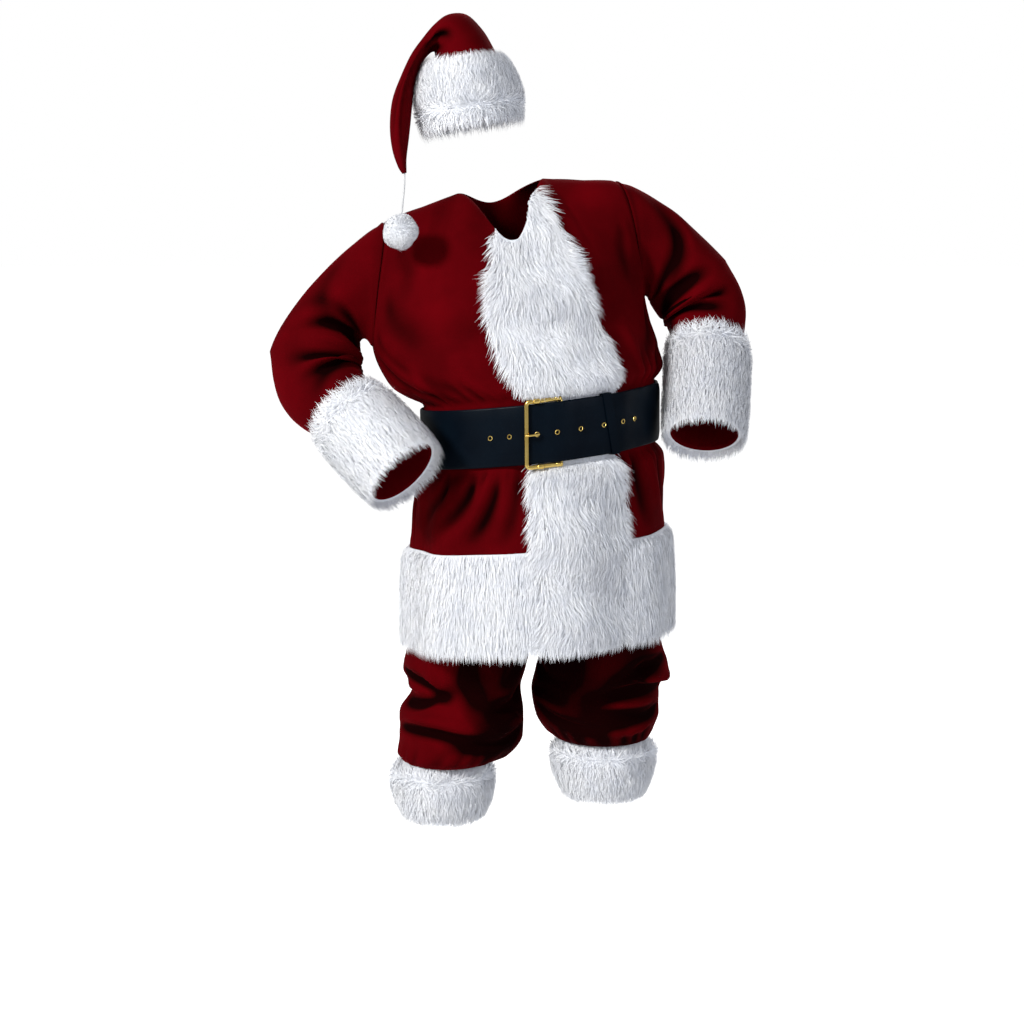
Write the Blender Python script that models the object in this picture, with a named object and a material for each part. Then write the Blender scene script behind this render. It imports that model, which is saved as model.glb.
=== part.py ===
"""Santa suit as worn, hollow: jacket, belt, trousers, leg bands and hat, posed with hands on hips.

Frame: metres, +Z up. The suit faces -Y and X runs to the wearer's left. The origin is the base of
the neck, between the shoulders that carry the jacket.

Most pieces are cloth walls. A surface function gives a point for (turn, level); it is sampled on a
grid, each point is moved along its own normal for the inner face, and the two faces are closed at
the edges. What lies on a panel uses that panel's own grid points, moved out.
"""
import math
from collections import namedtuple

import bmesh
import bpy
from mathutils import Matrix, Vector

# ---------------------------------------------------------------- driving dimensions
CLOTH = 0.0015            # thickness of the velvet
ARMHOLE_CLOTH = 0.0010    # velvet pressed thin where the sleeve is set in
SEAM = 0.0003             # gap kept between neighbouring pieces
FUR_REACH = 0.021         # how far a fur band stands off its cloth
NAP = 1e-4                # step used to find a surface's direction

ARMPIT = -0.238           # height of the armpits before the shoulders are tilted
YOKE_RISE = 0.22          # path from the armpit row up to the shoulder seam
HEM = -0.815              # lower edge of the jacket cloth
HEM_FUR_TOP = -0.640
HEM_FUR_DROP = 0.008      # fur hanging below the cloth edge

NECK_HALF_WIDTH = 0.082
NECK_FRONT = 0.100        # neckline depth forward of the shoulder seam
NECK_BACK = 0.062
NECK_TOP = 0.014
NECK_FRONT_DROP = 0.104
NECK_BACK_DROP = 0.026
NECK_SHARE = 40.0 / 90.0   # share of each quarter turn that ends on the neckline
SHOULDER_HALF_WIDTH = 0.222
SHOULDER_TIP = -0.014
ARMHOLE_BULGE = 0.105     # handle length that rounds the armhole

PLACKET_RIGHT = -14.0     # edges of the front fur strip, degrees round from the centre front
PLACKET_LEFT = 27.0
PLACKET_UNDER_BELT = 0.006

BELT_MIDDLE = -0.427
BELT_WIDTH = 0.108
BELT_THICKNESS = 0.0035
BELT_STAND_OFF = 0.0032
BELT_OVER_PLACKET = 0.0094
BELT_HALF_WIDTH = 0.2195
BELT_FRONT = 0.1855
BELT_BACK = 0.1345
TAIL_TIP_TURN = 73.0      # degrees; the free end of the strap
STRAP_STEPS = 92
HINGE_TURN = -0.5
PRONG_BAR_TURN = -15.5
BUCKLE_BAR = 0.0034       # bar radius
BUCKLE_CLEARANCE = 0.0016  # between the frame and the strap's edges
BUCKLE_CORNER = 0.007
PRONG_RADIUS = 0.0021
KEEPER_TURN = 23.0
KEEPER_WIDTH = 0.014
KEEPER_THICKNESS = 0.0016
KEEPER_LEAN = 2.6         # degrees of turn that its edges lean either way
EYELET_TURNS = (-34.0, -24.5, -12.0, -3.2, 7.5, 19.0, 29.5, 38.0)
EYELET_RADIUS = 0.0048
EYELET_SIDES = 10
EyeletRow = namedtuple("EyeletRow", "height rim bore")
EYELET_ROWS = (           # the rolled rim in section, as shares of the radius
    EyeletRow(0.0000, 1.00, 0.62),
    EyeletRow(0.0007, 0.96, 0.58),
    EyeletRow(0.0012, 0.80, 0.66),
)

TROUSER_CENTRE = 0.080
ROUND_COLUMNS = 16        # points round the hat and the leg bands

Section = namedtuple("Section", "height half_width front back")
Posture = namedtuple("Posture", "height lean tilt yaw")
Station = namedtuple("Station", "x y z radius")
LegRow = namedtuple("LegRow", "height inner outer turn front back")
HatRow = namedtuple("HatRow", "left_x left_z right_x right_z y half_depth")
FurRow = namedtuple("FurRow", "height outer inner")

JACKET_SECTIONS = (
    Section(-0.840, 0.2520, 0.215, 0.214),
    Section(-0.640, 0.2435, 0.210, 0.204),
    Section(-0.560, 0.2390, 0.207, 0.184),
    Section(-0.510, 0.2320, 0.200, 0.157),
    Section(-0.486, 0.2190, 0.185, 0.134),
    Section(-0.427, 0.2180, 0.184, 0.133),
    Section(-0.368, 0.2190, 0.185, 0.134),
    Section(-0.345, 0.2420, 0.194, 0.142),
    Section(-0.305, 0.2560, 0.188, 0.144),
    Section(-0.238, 0.2587, 0.162, 0.137),
    Section(-0.200, 0.2590, 0.150, 0.135),
)
POSTURE = (
    Posture(-0.840, 0.0885, 3.0, 15.0),
    Posture(-0.640, 0.0870, 4.5, 14.0),
    Posture(-0.495, 0.0875, 6.5, 12.0),
    Posture(-0.365, 0.0865, 6.5, 12.0),
    Posture(-0.320, 0.0620, 8.5, 12.0),
    Posture(-0.240, 0.0320, 10.0, 12.0),
    Posture(-0.100, 0.0180, 10.0, 12.0),
    Posture(0.050, 0.0120, 10.0, 12.0),
)
LEFT_FRONT_TURNS = (0.0, 9.0, 18.0, 27.0, 40.0, 53.0, 66.0, 78.0, 90.0)
RIGHT_FRONT_TURNS = (0.0, -7.0, -14.0, -27.0, -40.0, -53.0, -66.0, -78.0, -90.0)
BACK_TURNS = (90.0, 102.0, 114.0, 127.0, 140.0, 153.0, 166.0, 180.0,
              194.0, 207.0, 220.0, 233.0, 246.0, 258.0, 270.0)
JACKET_HEIGHTS = (HEM, -0.757, -0.698, HEM_FUR_TOP, -0.585, -0.540, -0.510, -0.486, -0.427,
                  -0.368, -0.345, -0.305, -0.270)
YOKE_RISES = (0.0, 0.13, 0.27, 0.41, 0.55, 0.70, 0.85, 1.0)

RIGHT_SLEEVE = (
    Station(-0.331, -0.034, -0.283, 0.085),
    Station(-0.316, -0.072, -0.352, 0.081),
    Station(-0.272, -0.112, -0.392, 0.070),
    Station(-0.217, -0.154, -0.443, 0.066),
    Station(-0.162, -0.196, -0.496, 0.068),
)
LEFT_SLEEVE = (
    Station(0.372, 0.086, -0.165, 0.083),
    Station(0.403, 0.076, -0.222, 0.079),
    Station(0.406, 0.040, -0.275, 0.068),
    Station(0.402, -0.010, -0.345, 0.061),
    Station(0.392, -0.078, -0.440, 0.063),
)
SHOULDER_HANDLE = 0.28    # how roundly the sleeve leaves the armhole
UPPER_SHARES = (0.0, 0.10, 0.34, 0.66)   # rings between the armhole and the first station
LOWER_STEPS = 9           # rings from there to the sleeve's end
CUFF_STEPS = 4            # the last steps of a sleeve lie under its fur cuff

RIGHT_LEG = (
    LegRow(-0.400, 0.000, 0.165, 0, 0.120, 0.110),
    LegRow(-0.500, 0.000, 0.180, 0, 0.140, 0.118),
    LegRow(-0.620, 0.000, 0.198, 0, 0.150, 0.140),
    LegRow(-0.700, 0.000, 0.206, 0, 0.150, 0.145),
    LegRow(-0.745, 0.000, 0.212, -28, 0.145, 0.140),
    LegRow(-0.785, 0.001, 0.220, -62, 0.135, 0.130),
    LegRow(-0.810, 0.004, 0.226, -90, 0.126, 0.104),
    LegRow(-0.860, 0.010, 0.245, -90, 0.122, 0.106),
    LegRow(-0.900, 0.018, 0.253, -90, 0.121, 0.112),
    LegRow(-0.936, 0.027, 0.236, -90, 0.108, 0.104),
    LegRow(-0.983, 0.022, 0.260, -90, 0.120, 0.116),
    LegRow(-1.030, 0.024, 0.260, -90, 0.122, 0.116),
    LegRow(-1.062, 0.048, 0.263, -90, 0.112, 0.106),
    LegRow(-1.077, 0.080, 0.255, -90, 0.092, 0.088),
    LegRow(-1.082, 0.108, 0.246, -90, 0.070, 0.070),
    LegRow(-1.122, 0.112, 0.244, -90, 0.066, 0.066),
)
LEFT_LEG = (
    LegRow(-0.400, 0.000, 0.180, 0, 0.120, 0.110),
    LegRow(-0.500, 0.000, 0.192, 0, 0.140, 0.118),
    LegRow(-0.620, 0.000, 0.205, 0, 0.150, 0.140),
    LegRow(-0.700, 0.000, 0.212, 0, 0.150, 0.145),
    LegRow(-0.745, 0.000, 0.216, -28, 0.145, 0.140),
    LegRow(-0.785, 0.001, 0.222, -62, 0.135, 0.130),
    LegRow(-0.810, 0.004, 0.230, -90, 0.128, 0.122),
    LegRow(-0.860, 0.008, 0.246, -90, 0.122, 0.118),
    LegRow(-0.900, 0.002, 0.256, -90, 0.122, 0.118),
    LegRow(-0.940, -0.006, 0.238, -90, 0.114, 0.112),
    LegRow(-0.983, 0.000, 0.238, -90, 0.120, 0.116),
    LegRow(-1.012, 0.018, 0.228, -90, 0.108, 0.104),
    LegRow(-1.032, 0.042, 0.219, -90, 0.092, 0.088),
    LegRow(-1.038, 0.062, 0.202, -90, 0.070, 0.070),
    LegRow(-1.078, 0.066, 0.198, -90, 0.066, 0.066),
)
LEG_SHARES = (0.0, 0.16, 0.33, 0.50, 0.67, 0.84, 1.0)
LEG_FUR_X = {"right": -0.098, "left": 0.212}
LEG_FUR_TOP = {"right": -1.088, "left": -1.044}
LEG_FUR_ROWS = (
    FurRow(0.000, 0.088, 0.076),
    FurRow(-0.014, 0.104, 0.074),
    FurRow(-0.050, 0.101, 0.073),
    FurRow(-0.086, 0.088, 0.072),
    FurRow(-0.096, 0.080, 0.072),
)

HAT_ROWS = (
    HatRow(-0.1160, 0.1240, 0.0440, 0.1460, -0.010, 0.0960),
    HatRow(-0.1200, 0.1540, 0.0400, 0.1760, -0.009, 0.0960),
    HatRow(-0.1185, 0.1900, 0.0295, 0.2100, -0.007, 0.0920),
    HatRow(-0.1120, 0.2260, 0.0130, 0.2430, -0.005, 0.0840),
    HatRow(-0.1080, 0.2440, 0.0000, 0.2680, -0.003, 0.0760),
    HatRow(-0.1065, 0.2540, -0.0180, 0.2970, -0.002, 0.0690),
    HatRow(-0.1075, 0.2585, -0.0470, 0.3250, -0.001, 0.0630),
    HatRow(-0.1100, 0.2590, -0.0800, 0.3260, 0.000, 0.0590),
    HatRow(-0.1150, 0.2565, -0.1060, 0.3070, -0.001, 0.0560),
    HatRow(-0.1240, 0.2470, -0.1300, 0.2780, -0.004, 0.0540),
    HatRow(-0.1360, 0.2280, -0.1500, 0.2500, -0.008, 0.0520),
    HatRow(-0.1500, 0.1970, -0.1680, 0.2110, -0.018, 0.0480),
    HatRow(-0.1550, 0.1600, -0.1830, 0.1680, -0.034, 0.0430),
    HatRow(-0.1580, 0.1180, -0.1870, 0.1210, -0.054, 0.0360),
    HatRow(-0.1570, 0.0800, -0.1820, 0.0790, -0.078, 0.0260),
    HatRow(-0.1550, 0.0520, -0.1710, 0.0480, -0.096, 0.0140),
    HatRow(-0.1540, 0.0360, -0.1620, 0.0340, -0.106, 0.0044),
)
HAT_BAND_ROWS = 4         # rows of the crown that lie under the fur band
HAT_BAND_REACH = (0.015, 0.022, 0.018, 0.008)
HAT_CORD_ROUTE = ((-0.1577, -0.1064, 0.0352), (-0.1577, -0.1180, 0.0120),
                  (-0.1595, -0.1330, -0.0140), (-0.1612, -0.1465, -0.0400))
HAT_CORD_DIAMETER = 0.003
HAT_CORD_STEPS = 12
POMPOM_CENTRE = (-0.1630, -0.1600, -0.0690)
POMPOM_RADIUS = 0.0315

COLOURS = {
    # name: base colour, roughness, metallic
    "velvet": ((0.150, 0.002, 0.006), 0.85, 0.0),
    "fur": ((0.860, 0.870, 0.900), 0.95, 0.0),
    "belt_leather": ((0.012, 0.015, 0.014), 0.38, 0.0),
    "brass": ((0.780, 0.560, 0.170), 0.28, 1.0),
    "cord": ((0.840, 0.840, 0.830), 0.80, 0.0),
}


# ---------------------------------------------------------------- numbers and curves
def ramp(low, high, value):
    share = min(1.0, max(0.0, (value - low) / (high - low)))
    return share * share * (3.0 - 2.0 * share)


def reading(table, at, column):
    """One named column of a height table, read with a curve that never overshoots its rows."""
    rows = sorted(table, key=lambda row: row.height)
    keys = [row.height for row in rows]
    values = [getattr(row, column) for row in rows]
    index = max(0, min(len(keys) - 2, sum(key <= at for key in keys) - 1))
    slopes = [(values[k + 1] - values[k]) / (keys[k + 1] - keys[k]) for k in range(len(keys) - 1)]

    def tangent(k):
        if k == 0 or k == len(keys) - 1:
            return slopes[min(k, len(slopes) - 1)]
        before, after = slopes[k - 1], slopes[k]
        return 0.0 if before * after <= 0 else 2.0 * before * after / (before + after)

    span = keys[index + 1] - keys[index]
    t = (at - keys[index]) / span
    return (values[index] * (2 * t**3 - 3 * t**2 + 1) + values[index + 1] * (3 * t**2 - 2 * t**3)
            + span * (tangent(index) * (t**3 - 2 * t**2 + t) + tangent(index + 1) * (t**3 - t**2)))


def curve_point(points, along):
    """A point on the smooth curve through the given vectors; along runs from 0 to 1."""
    spans = len(points) - 1
    place = min(max(along, 0.0), 1.0) * spans
    k = min(int(place), spans - 1)
    t = place - k
    before = points[k - 1] if k > 0 else points[0] * 2 - points[1]
    after = points[k + 2] if k + 2 <= spans else points[-1] * 2 - points[-2]
    start, end = points[k], points[k + 1]
    return 0.5 * (2 * start + (end - before) * t + (2 * before - 5 * start + 4 * end - after) * t**2
                  + (3 * start - before - 3 * end + after) * t**3)


def bezier(start, leave, arrive, end, t):
    s = 1.0 - t
    return start * s**3 + leave * (3 * s * s * t) + arrive * (3 * s * t * t) + end * t**3


# ---------------------------------------------------------------- solids
def material(name):
    found = bpy.data.materials.get(name)
    if found:
        return found
    colour, roughness, metallic = COLOURS[name]
    made = bpy.data.materials.new(name)
    made.use_nodes = True
    shader = made.node_tree.nodes["Principled BSDF"]
    shader.inputs["Base Color"].default_value = (*colour, 1.0)
    shader.inputs["Roughness"].default_value = roughness
    shader.inputs["Metallic"].default_value = metallic
    return made


def add_mesh(name, mesh_builder, material_name):
    mesh = bpy.data.meshes.new(name)
    bmesh.ops.recalc_face_normals(mesh_builder, faces=mesh_builder.faces)
    if mesh_builder.calc_volume(signed=True) < 0:
        bmesh.ops.reverse_faces(mesh_builder, faces=mesh_builder.faces)
    mesh_builder.to_mesh(mesh)
    mesh_builder.free()
    thing = bpy.data.objects.new(name, mesh)
    thing.data.materials.append(material(material_name))
    bpy.context.scene.collection.objects.link(thing)
    return thing


def layered_solid(name, outer, inner, wraps, material_name):
    """Close two matching grids of points into one body; wraps joins the last column to the first."""
    builder = bmesh.new()
    faces_of = []
    for grid in (outer, inner):
        faces_of.append([[builder.verts.new(point) for point in row] for row in grid])
    front, back = faces_of
    rows, columns = len(front), len(front[0])
    column_pairs = [(c, (c + 1) % columns) for c in range(columns if wraps else columns - 1)]
    for r in range(rows - 1):
        for c, d in column_pairs:
            builder.faces.new((front[r][c], front[r][d], front[r + 1][d], front[r + 1][c]))
            builder.faces.new((back[r][c], back[r + 1][c], back[r + 1][d], back[r][d]))
    for r in (0, rows - 1):
        for c, d in column_pairs:
            builder.faces.new((front[r][c], back[r][c], back[r][d], front[r][d]))
    if not wraps:
        for c in (0, columns - 1):
            for r in range(rows - 1):
                builder.faces.new((front[r][c], front[r + 1][c], back[r + 1][c], back[r][c]))
    return add_mesh(name, builder, material_name)


def moved(points, normals, distance):
    """A grid of points moved along its normals by a number or by one number for each row."""
    shifts = distance if isinstance(distance, (list, tuple)) else [distance] * len(points)
    return [[p + n * shift for p, n in zip(row, row_normals)]
            for row, row_normals, shift in zip(points, normals, shifts)]


def grid_normals(points, outward_from):
    """Normals of a wrapped grid by neighbour differences, turned away from each row's centre."""
    normals = []
    last = len(points) - 1
    for r, row in enumerate(points):
        centre = outward_from[r]
        line = []
        for c, point in enumerate(row):
            across = row[(c + 1) % len(row)] - row[c - 1]
            along = points[min(r + 1, last)][c] - points[max(r - 1, 0)][c]
            normal = across.cross(along).normalized()
            line.append(normal if normal.dot(point - centre) >= 0 else -normal)
        normals.append(line)
    return normals


# ---------------------------------------------------------------- jacket surface
def posed(point):
    """Lean, tilt and turn the upright jacket the way the body stands."""
    yaw = math.radians(reading(POSTURE, point.z, "yaw"))
    x = point.x * math.cos(yaw) - point.y * math.sin(yaw)
    y = point.x * math.sin(yaw) + point.y * math.cos(yaw)
    tilt = math.radians(reading(POSTURE, point.z, "tilt"))
    return Vector((x + reading(POSTURE, point.z, "lean"), y, point.z + x * math.tan(tilt)))


def skirt_wave(turn, height):
    """Soft vertical folds between the belt and the hem band."""
    depth = 0.0045 * ramp(-0.505, -0.575, height)
    return depth * (math.cos(7.0 * turn + 0.6) + 0.6 * math.cos(11.0 * turn - 0.9))


def torso_point(turn, height):
    half_width = reading(JACKET_SECTIONS, height, "half_width") + skirt_wave(turn, height)
    depth = reading(JACKET_SECTIONS, height, "front" if math.cos(turn) > 0 else "back")
    depth += skirt_wave(turn, height)
    return Vector((half_width * math.sin(turn), -depth * math.cos(turn), height))


def top_edge(side, face, share):
    """The neckline, then the shoulder seam, from the centre line out to the shoulder tip."""
    if share <= NECK_SHARE:
        along = share / NECK_SHARE
        angle = along * math.pi / 2
        depth, drop = (NECK_FRONT, NECK_FRONT_DROP) if face < 0 else (NECK_BACK, NECK_BACK_DROP)
        return Vector((side * NECK_HALF_WIDTH * along, face * depth * (1.0 - along**1.6),
                       NECK_TOP - drop * math.cos(angle)**2))
    out = (share - NECK_SHARE) / (1.0 - NECK_SHARE)
    return Vector((side * (NECK_HALF_WIDTH + (SHOULDER_HALF_WIDTH - NECK_HALF_WIDTH) * out), 0.0,
                   NECK_TOP + (SHOULDER_TIP - NECK_TOP) * out))


def yoke_arrival(share):
    """Handle length with which a column comes over the shoulder."""
    return 0.060 + (ARMHOLE_BULGE - 0.060) * ramp(0.50, 1.0, share)


def yoke_point(side, face, share, rise):
    """Jacket above the armpits: share 0 is the centre line, 1 the armhole; rise 1 is the top."""
    quarter = share * math.pi / 2
    turn = quarter if face < 0 else math.pi - quarter
    start = torso_point(side * turn, ARMPIT)
    end = top_edge(side, face, share)
    to_armhole = max(0.0, (share - 0.40) / 0.60)**2
    lift = 0.052 + 0.060 * ramp(0.15, 0.55, share)
    leave = Vector((0.0, face * 0.055 * to_armhole, lift * (1.0 - 0.45 * to_armhole)))
    over_shoulder = ramp(0.08, NECK_SHARE, share)
    arrive = Vector((0.0, face * yoke_arrival(share), 0.0)) * over_shoulder
    arrive += Vector((0.0, face * 0.014, -0.045)) * (1.0 - over_shoulder)
    return bezier(start, start + leave, end + arrive, end, rise)


def jacket_point(turn, level):
    """turn in degrees round from the centre front; level in metres from the armpit row."""
    angle = math.radians(turn)
    if level <= 0.0:
        return posed(torso_point(angle, ARMPIT + level))
    side = -1.0 if turn < 0 or turn > 180 else 1.0
    face = -1.0 if -90.0 <= turn <= 90.0 else 1.0
    share = abs(turn) / 90.0 if face < 0 else abs(180.0 - turn) / 90.0
    return posed(yoke_point(side, face, share, min(1.0, level / YOKE_RISE)))


def jacket_grid(turns, levels, top_levels=None):
    """Points and outward normals; top_levels may replace the last level column by column."""
    low, high = min(turns), max(turns)
    points, normals = [], []
    for r, level in enumerate(levels):
        row, row_normals = [], []
        for c, turn in enumerate(turns):
            at = top_levels[c] if top_levels and r == len(levels) - 1 else level
            up = min(at + NAP, YOKE_RISE) if at > 0.0 else min(at, -NAP)
            step = math.degrees(NAP)
            across = jacket_point(min(turn + step, high), at)
            across -= jacket_point(max(turn - step, low), at)
            along = jacket_point(turn, up) - jacket_point(turn, up - 2 * NAP)
            row.append(jacket_point(turn, at))
            row_normals.append(across.cross(along).normalized())
        points.append(row)
        normals.append(row_normals)
    return points, normals


def trimmed(turns):
    """The same columns with the two outer ones drawn in by half a seam gap."""
    trim = math.degrees(SEAM / 2 / BELT_BACK)
    lifted = list(turns)
    direction = 1.0 if turns[-1] > turns[0] else -1.0
    lifted[0] += trim * direction
    lifted[-1] -= trim * direction
    return lifted


def jacket_levels():
    lower = [height - ARMPIT for height in JACKET_HEIGHTS]
    return lower + [rise * YOKE_RISE for rise in YOKE_RISES]


def shoulder_levels(turns):
    """Where each column stops, half a seam gap short of the shoulder seam."""
    stops = []
    for turn in turns:
        share = abs(turn) / 90.0 if -90.0 <= turn <= 90.0 else abs(180.0 - turn) / 90.0
        stops.append(YOKE_RISE * (1.0 - SEAM / 2 / (3.0 * yoke_arrival(share))))
    return stops


def make_jacket_panel(name, turns):
    columns = sorted(trimmed(turns))
    points, normals = jacket_grid(columns, jacket_levels(), shoulder_levels(columns))
    layered_solid(name, points, moved(points, normals, -CLOTH), False, "velvet")


# ---------------------------------------------------------------- sleeves
def armhole_loop(side):
    """Points, normals and outward steps round one armhole: armpit, up the front, down the back."""
    loop = [(-1.0, rise) for rise in YOKE_RISES] + [(1.0, rise) for rise in reversed(YOKE_RISES[1:-1])]
    points, normals = [], []
    for face, rise in loop:
        here = posed(yoke_point(side, face, 1.0, rise))
        up = min(rise + 1e-3, 1.0) if rise > 0.0 else 2e-3
        low = posed(yoke_point(side, face, 1.0, up - 2e-3))
        along = posed(yoke_point(side, face, 1.0, up)) - low
        inward = posed(yoke_point(side, face, 0.995, rise))
        normal = (here - inward).cross(along).normalized() * (-side * face)
        points.append(here)
        normals.append(normal)
    steps = []
    count = len(points)
    waist = posed(Vector((0.0, 0.0, BELT_MIDDLE)))
    for k, point in enumerate(points):
        along = points[(k + 1) % count] - points[k - 1]
        step = along.cross(normals[k]).normalized()
        steps.append(step if step.dot(point - waist) >= 0 else -step)
    return points, normals, steps


def sleeve_grid(side, stations):
    """Rings from the armhole to the sleeve's end, with their normals."""
    loop, loop_normals, steps = armhole_loop(side)
    loop = [point + step * SEAM for point, step in zip(loop, steps)]
    middle = sum(loop, Vector()) / len(loop)
    route = [Vector((s.x, s.y, s.z)) for s in stations]
    radii = [Vector((s.radius, 0.0, 0.0)) for s in stations]
    along_loop = (route[0] - middle).normalized()
    down = loop[0] - middle
    down = (down - along_loop * down.dot(along_loop)).normalized()
    forward = along_loop.cross(down)
    angles = [math.atan2((p - middle).dot(forward), (p - middle).dot(down)) for p in loop]
    rings, centres = [], []
    before = along_loop
    for k in range(LOWER_STEPS + 1):
        along = k / LOWER_STEPS
        centre = curve_point(route, along)
        tangent = (curve_point(route, along + 0.02) - curve_point(route, along - 0.02)).normalized()
        bend = before.rotation_difference(tangent)
        down = bend @ down
        forward = bend @ forward
        before = tangent
        radius = curve_point(radii, along).x
        rings.append([centre + (down * math.cos(a) + forward * math.sin(a)) * radius for a in angles])
        centres.append(centre)
        if k == 0:
            first_tangent = tangent
    upper = []
    for share in UPPER_SHARES:
        ring = []
        for start, end, step in zip(loop, rings[0], steps):
            chord = end - start
            handle = chord.length * SHOULDER_HANDLE
            leave = (step * 1.4 + chord.normalized()).normalized() * handle
            arrive = (first_tangent + chord.normalized()).normalized() * handle
            ring.append(bezier(start, start + leave, end - arrive, end, share))
        upper.append(ring)
    rings = upper + rings
    centres = [middle.lerp(route[0], share) for share in UPPER_SHARES] + centres
    normals = grid_normals(rings, centres)
    normals[0] = loop_normals
    return rings, normals


def make_sleeve(side_name, side, stations):
    rings, normals = sleeve_grid(side, stations)
    walls = [-ARMHOLE_CLOTH, -ARMHOLE_CLOTH] + [-CLOTH] * (len(rings) - 2)
    layered_solid(f"sleeve_{side_name}", rings, moved(rings, normals, walls), True, "velvet")
    cuff_points = rings[-CUFF_STEPS - 1:]
    cuff_normals = normals[-CUFF_STEPS - 1:]
    swell = [0.35] + [1.0] * (CUFF_STEPS - 1) + [0.45]
    outer = moved(cuff_points, cuff_normals, [SEAM + FUR_REACH * share for share in swell])
    under = moved(cuff_points, cuff_normals, SEAM)
    layered_solid(f"cuff_fur_{side_name}", outer, under, True, "fur")


# ---------------------------------------------------------------- fur on the jacket
def fur_levels(low, high):
    """Panel levels between two heights, with one more row below the cloth edge."""
    levels = [level for level in jacket_levels() if low <= level + ARMPIT <= high]
    return [levels[0] - HEM_FUR_DROP] + levels


def make_hem_fur():
    gap = math.degrees(2 * SEAM / BELT_HALF_WIDTH)
    turns = [PLACKET_LEFT + gap] + [t for t in LEFT_FRONT_TURNS if t > PLACKET_LEFT]
    turns += [t for t in BACK_TURNS if 90.0 < t < 270.0]
    turns += [360.0 + t for t in reversed(RIGHT_FRONT_TURNS) if t < PLACKET_RIGHT]
    turns.append(360.0 + PLACKET_RIGHT - gap)
    levels = fur_levels(HEM, HEM_FUR_TOP)
    points, normals = jacket_grid(turns, levels)
    swell = [0.55] + [1.0] * (len(levels) - 2) + [0.45]
    outer = moved(points, normals, [SEAM + FUR_REACH * share for share in swell])
    layered_solid("hem_fur", outer, moved(points, normals, SEAM), False, "fur")


def placket_reach(turn, level):
    """Fur depth: thin under the belt, thinned at the side edges."""
    height = ARMPIT + level
    off_belt = ramp(BELT_WIDTH / 2 + 0.004, BELT_WIDTH / 2 + 0.045, abs(height - BELT_MIDDLE))
    reach = PLACKET_UNDER_BELT + (FUR_REACH + 0.002 - PLACKET_UNDER_BELT) * off_belt
    at_edge = turn in (PLACKET_RIGHT, PLACKET_LEFT)
    return reach * (0.72 if at_edge and off_belt > 0 else 1.0)


def make_placket_fur():
    turns = sorted({t for t in LEFT_FRONT_TURNS + RIGHT_FRONT_TURNS if PLACKET_RIGHT <= t <= PLACKET_LEFT})
    levels = fur_levels(HEM, ARMPIT + YOKE_RISE)
    points, normals = jacket_grid(turns, levels, shoulder_levels(turns))
    outer = [[p + n * (SEAM + placket_reach(turn, level)) for p, n, turn in zip(row, row_normals, turns)]
             for row, row_normals, level in zip(points, normals, levels)]
    layered_solid("placket_fur", outer, moved(points, normals, SEAM), False, "fur")


# ---------------------------------------------------------------- belt
def belt_clearance(turn):
    """Distance from the waist out to the strap's inner face: more over the fur strip."""
    degrees = (turn + 180.0) % 360.0 - 180.0
    over_fur = ramp(PLACKET_RIGHT - 16.0, PLACKET_RIGHT - 2.0, degrees)
    over_fur *= ramp(PLACKET_LEFT + 16.0, PLACKET_LEFT + 2.0, degrees)
    return BELT_STAND_OFF + (BELT_OVER_PLACKET - BELT_STAND_OFF) * over_fur


def belt_point(turn, height, out):
    """A point on the waist at a turn in degrees, moved out; height counts from the belt's middle."""
    angle = math.radians(turn)
    depth = BELT_FRONT if math.cos(angle) > 0 else BELT_BACK
    x, y = BELT_HALF_WIDTH * math.sin(angle), -depth * math.cos(angle)
    slope = Vector((depth * math.sin(angle), -BELT_HALF_WIDTH * math.cos(angle), 0.0)).normalized()
    return posed(Vector((x, y, BELT_MIDDLE + height)) + slope * (belt_clearance(turn) + out))


def tail_lift(turn):
    """How far the lapped tail stands above the single strap."""
    lap = BELT_THICKNESS + 2 * SEAM
    over_hinge = 2 * BUCKLE_BAR + 4 * SEAM - lap
    lift = lap * ramp(PRONG_BAR_TURN - 16.0, PRONG_BAR_TURN + 6.0, turn)
    near_hinge = ramp(HINGE_TURN - 9.0, HINGE_TURN - 2.0, turn)
    near_hinge *= ramp(HINGE_TURN + 12.0, HINGE_TURN + 2.0, turn)
    return lift + over_hinge * near_hinge


def make_belt_strap():
    """One strap wound a little more than once round the waist, its tail on the outside."""
    start, end = TAIL_TIP_TURN, HINGE_TURN - 360.0 + 1.6
    count = STRAP_STEPS
    inner, outer = [], []
    for k in range(count + 1):
        turn = start + (end - start) * k / count
        lift = tail_lift(turn) if turn > -60.0 else 0.0
        tip = ramp(start, start - 7.0, turn)
        half = BELT_WIDTH / 2 * (0.72 + 0.28 * math.sqrt(max(0.0, 1.0 - (1.0 - tip)**2)))
        inner.append([belt_point(turn, h, lift) for h in (-half, 0.0, half)])
        outer.append([belt_point(turn, h, lift + BELT_THICKNESS) for h in (-half, 0.0, half)])
    layered_solid("belt_strap", outer, inner, False, "belt_leather")


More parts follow.
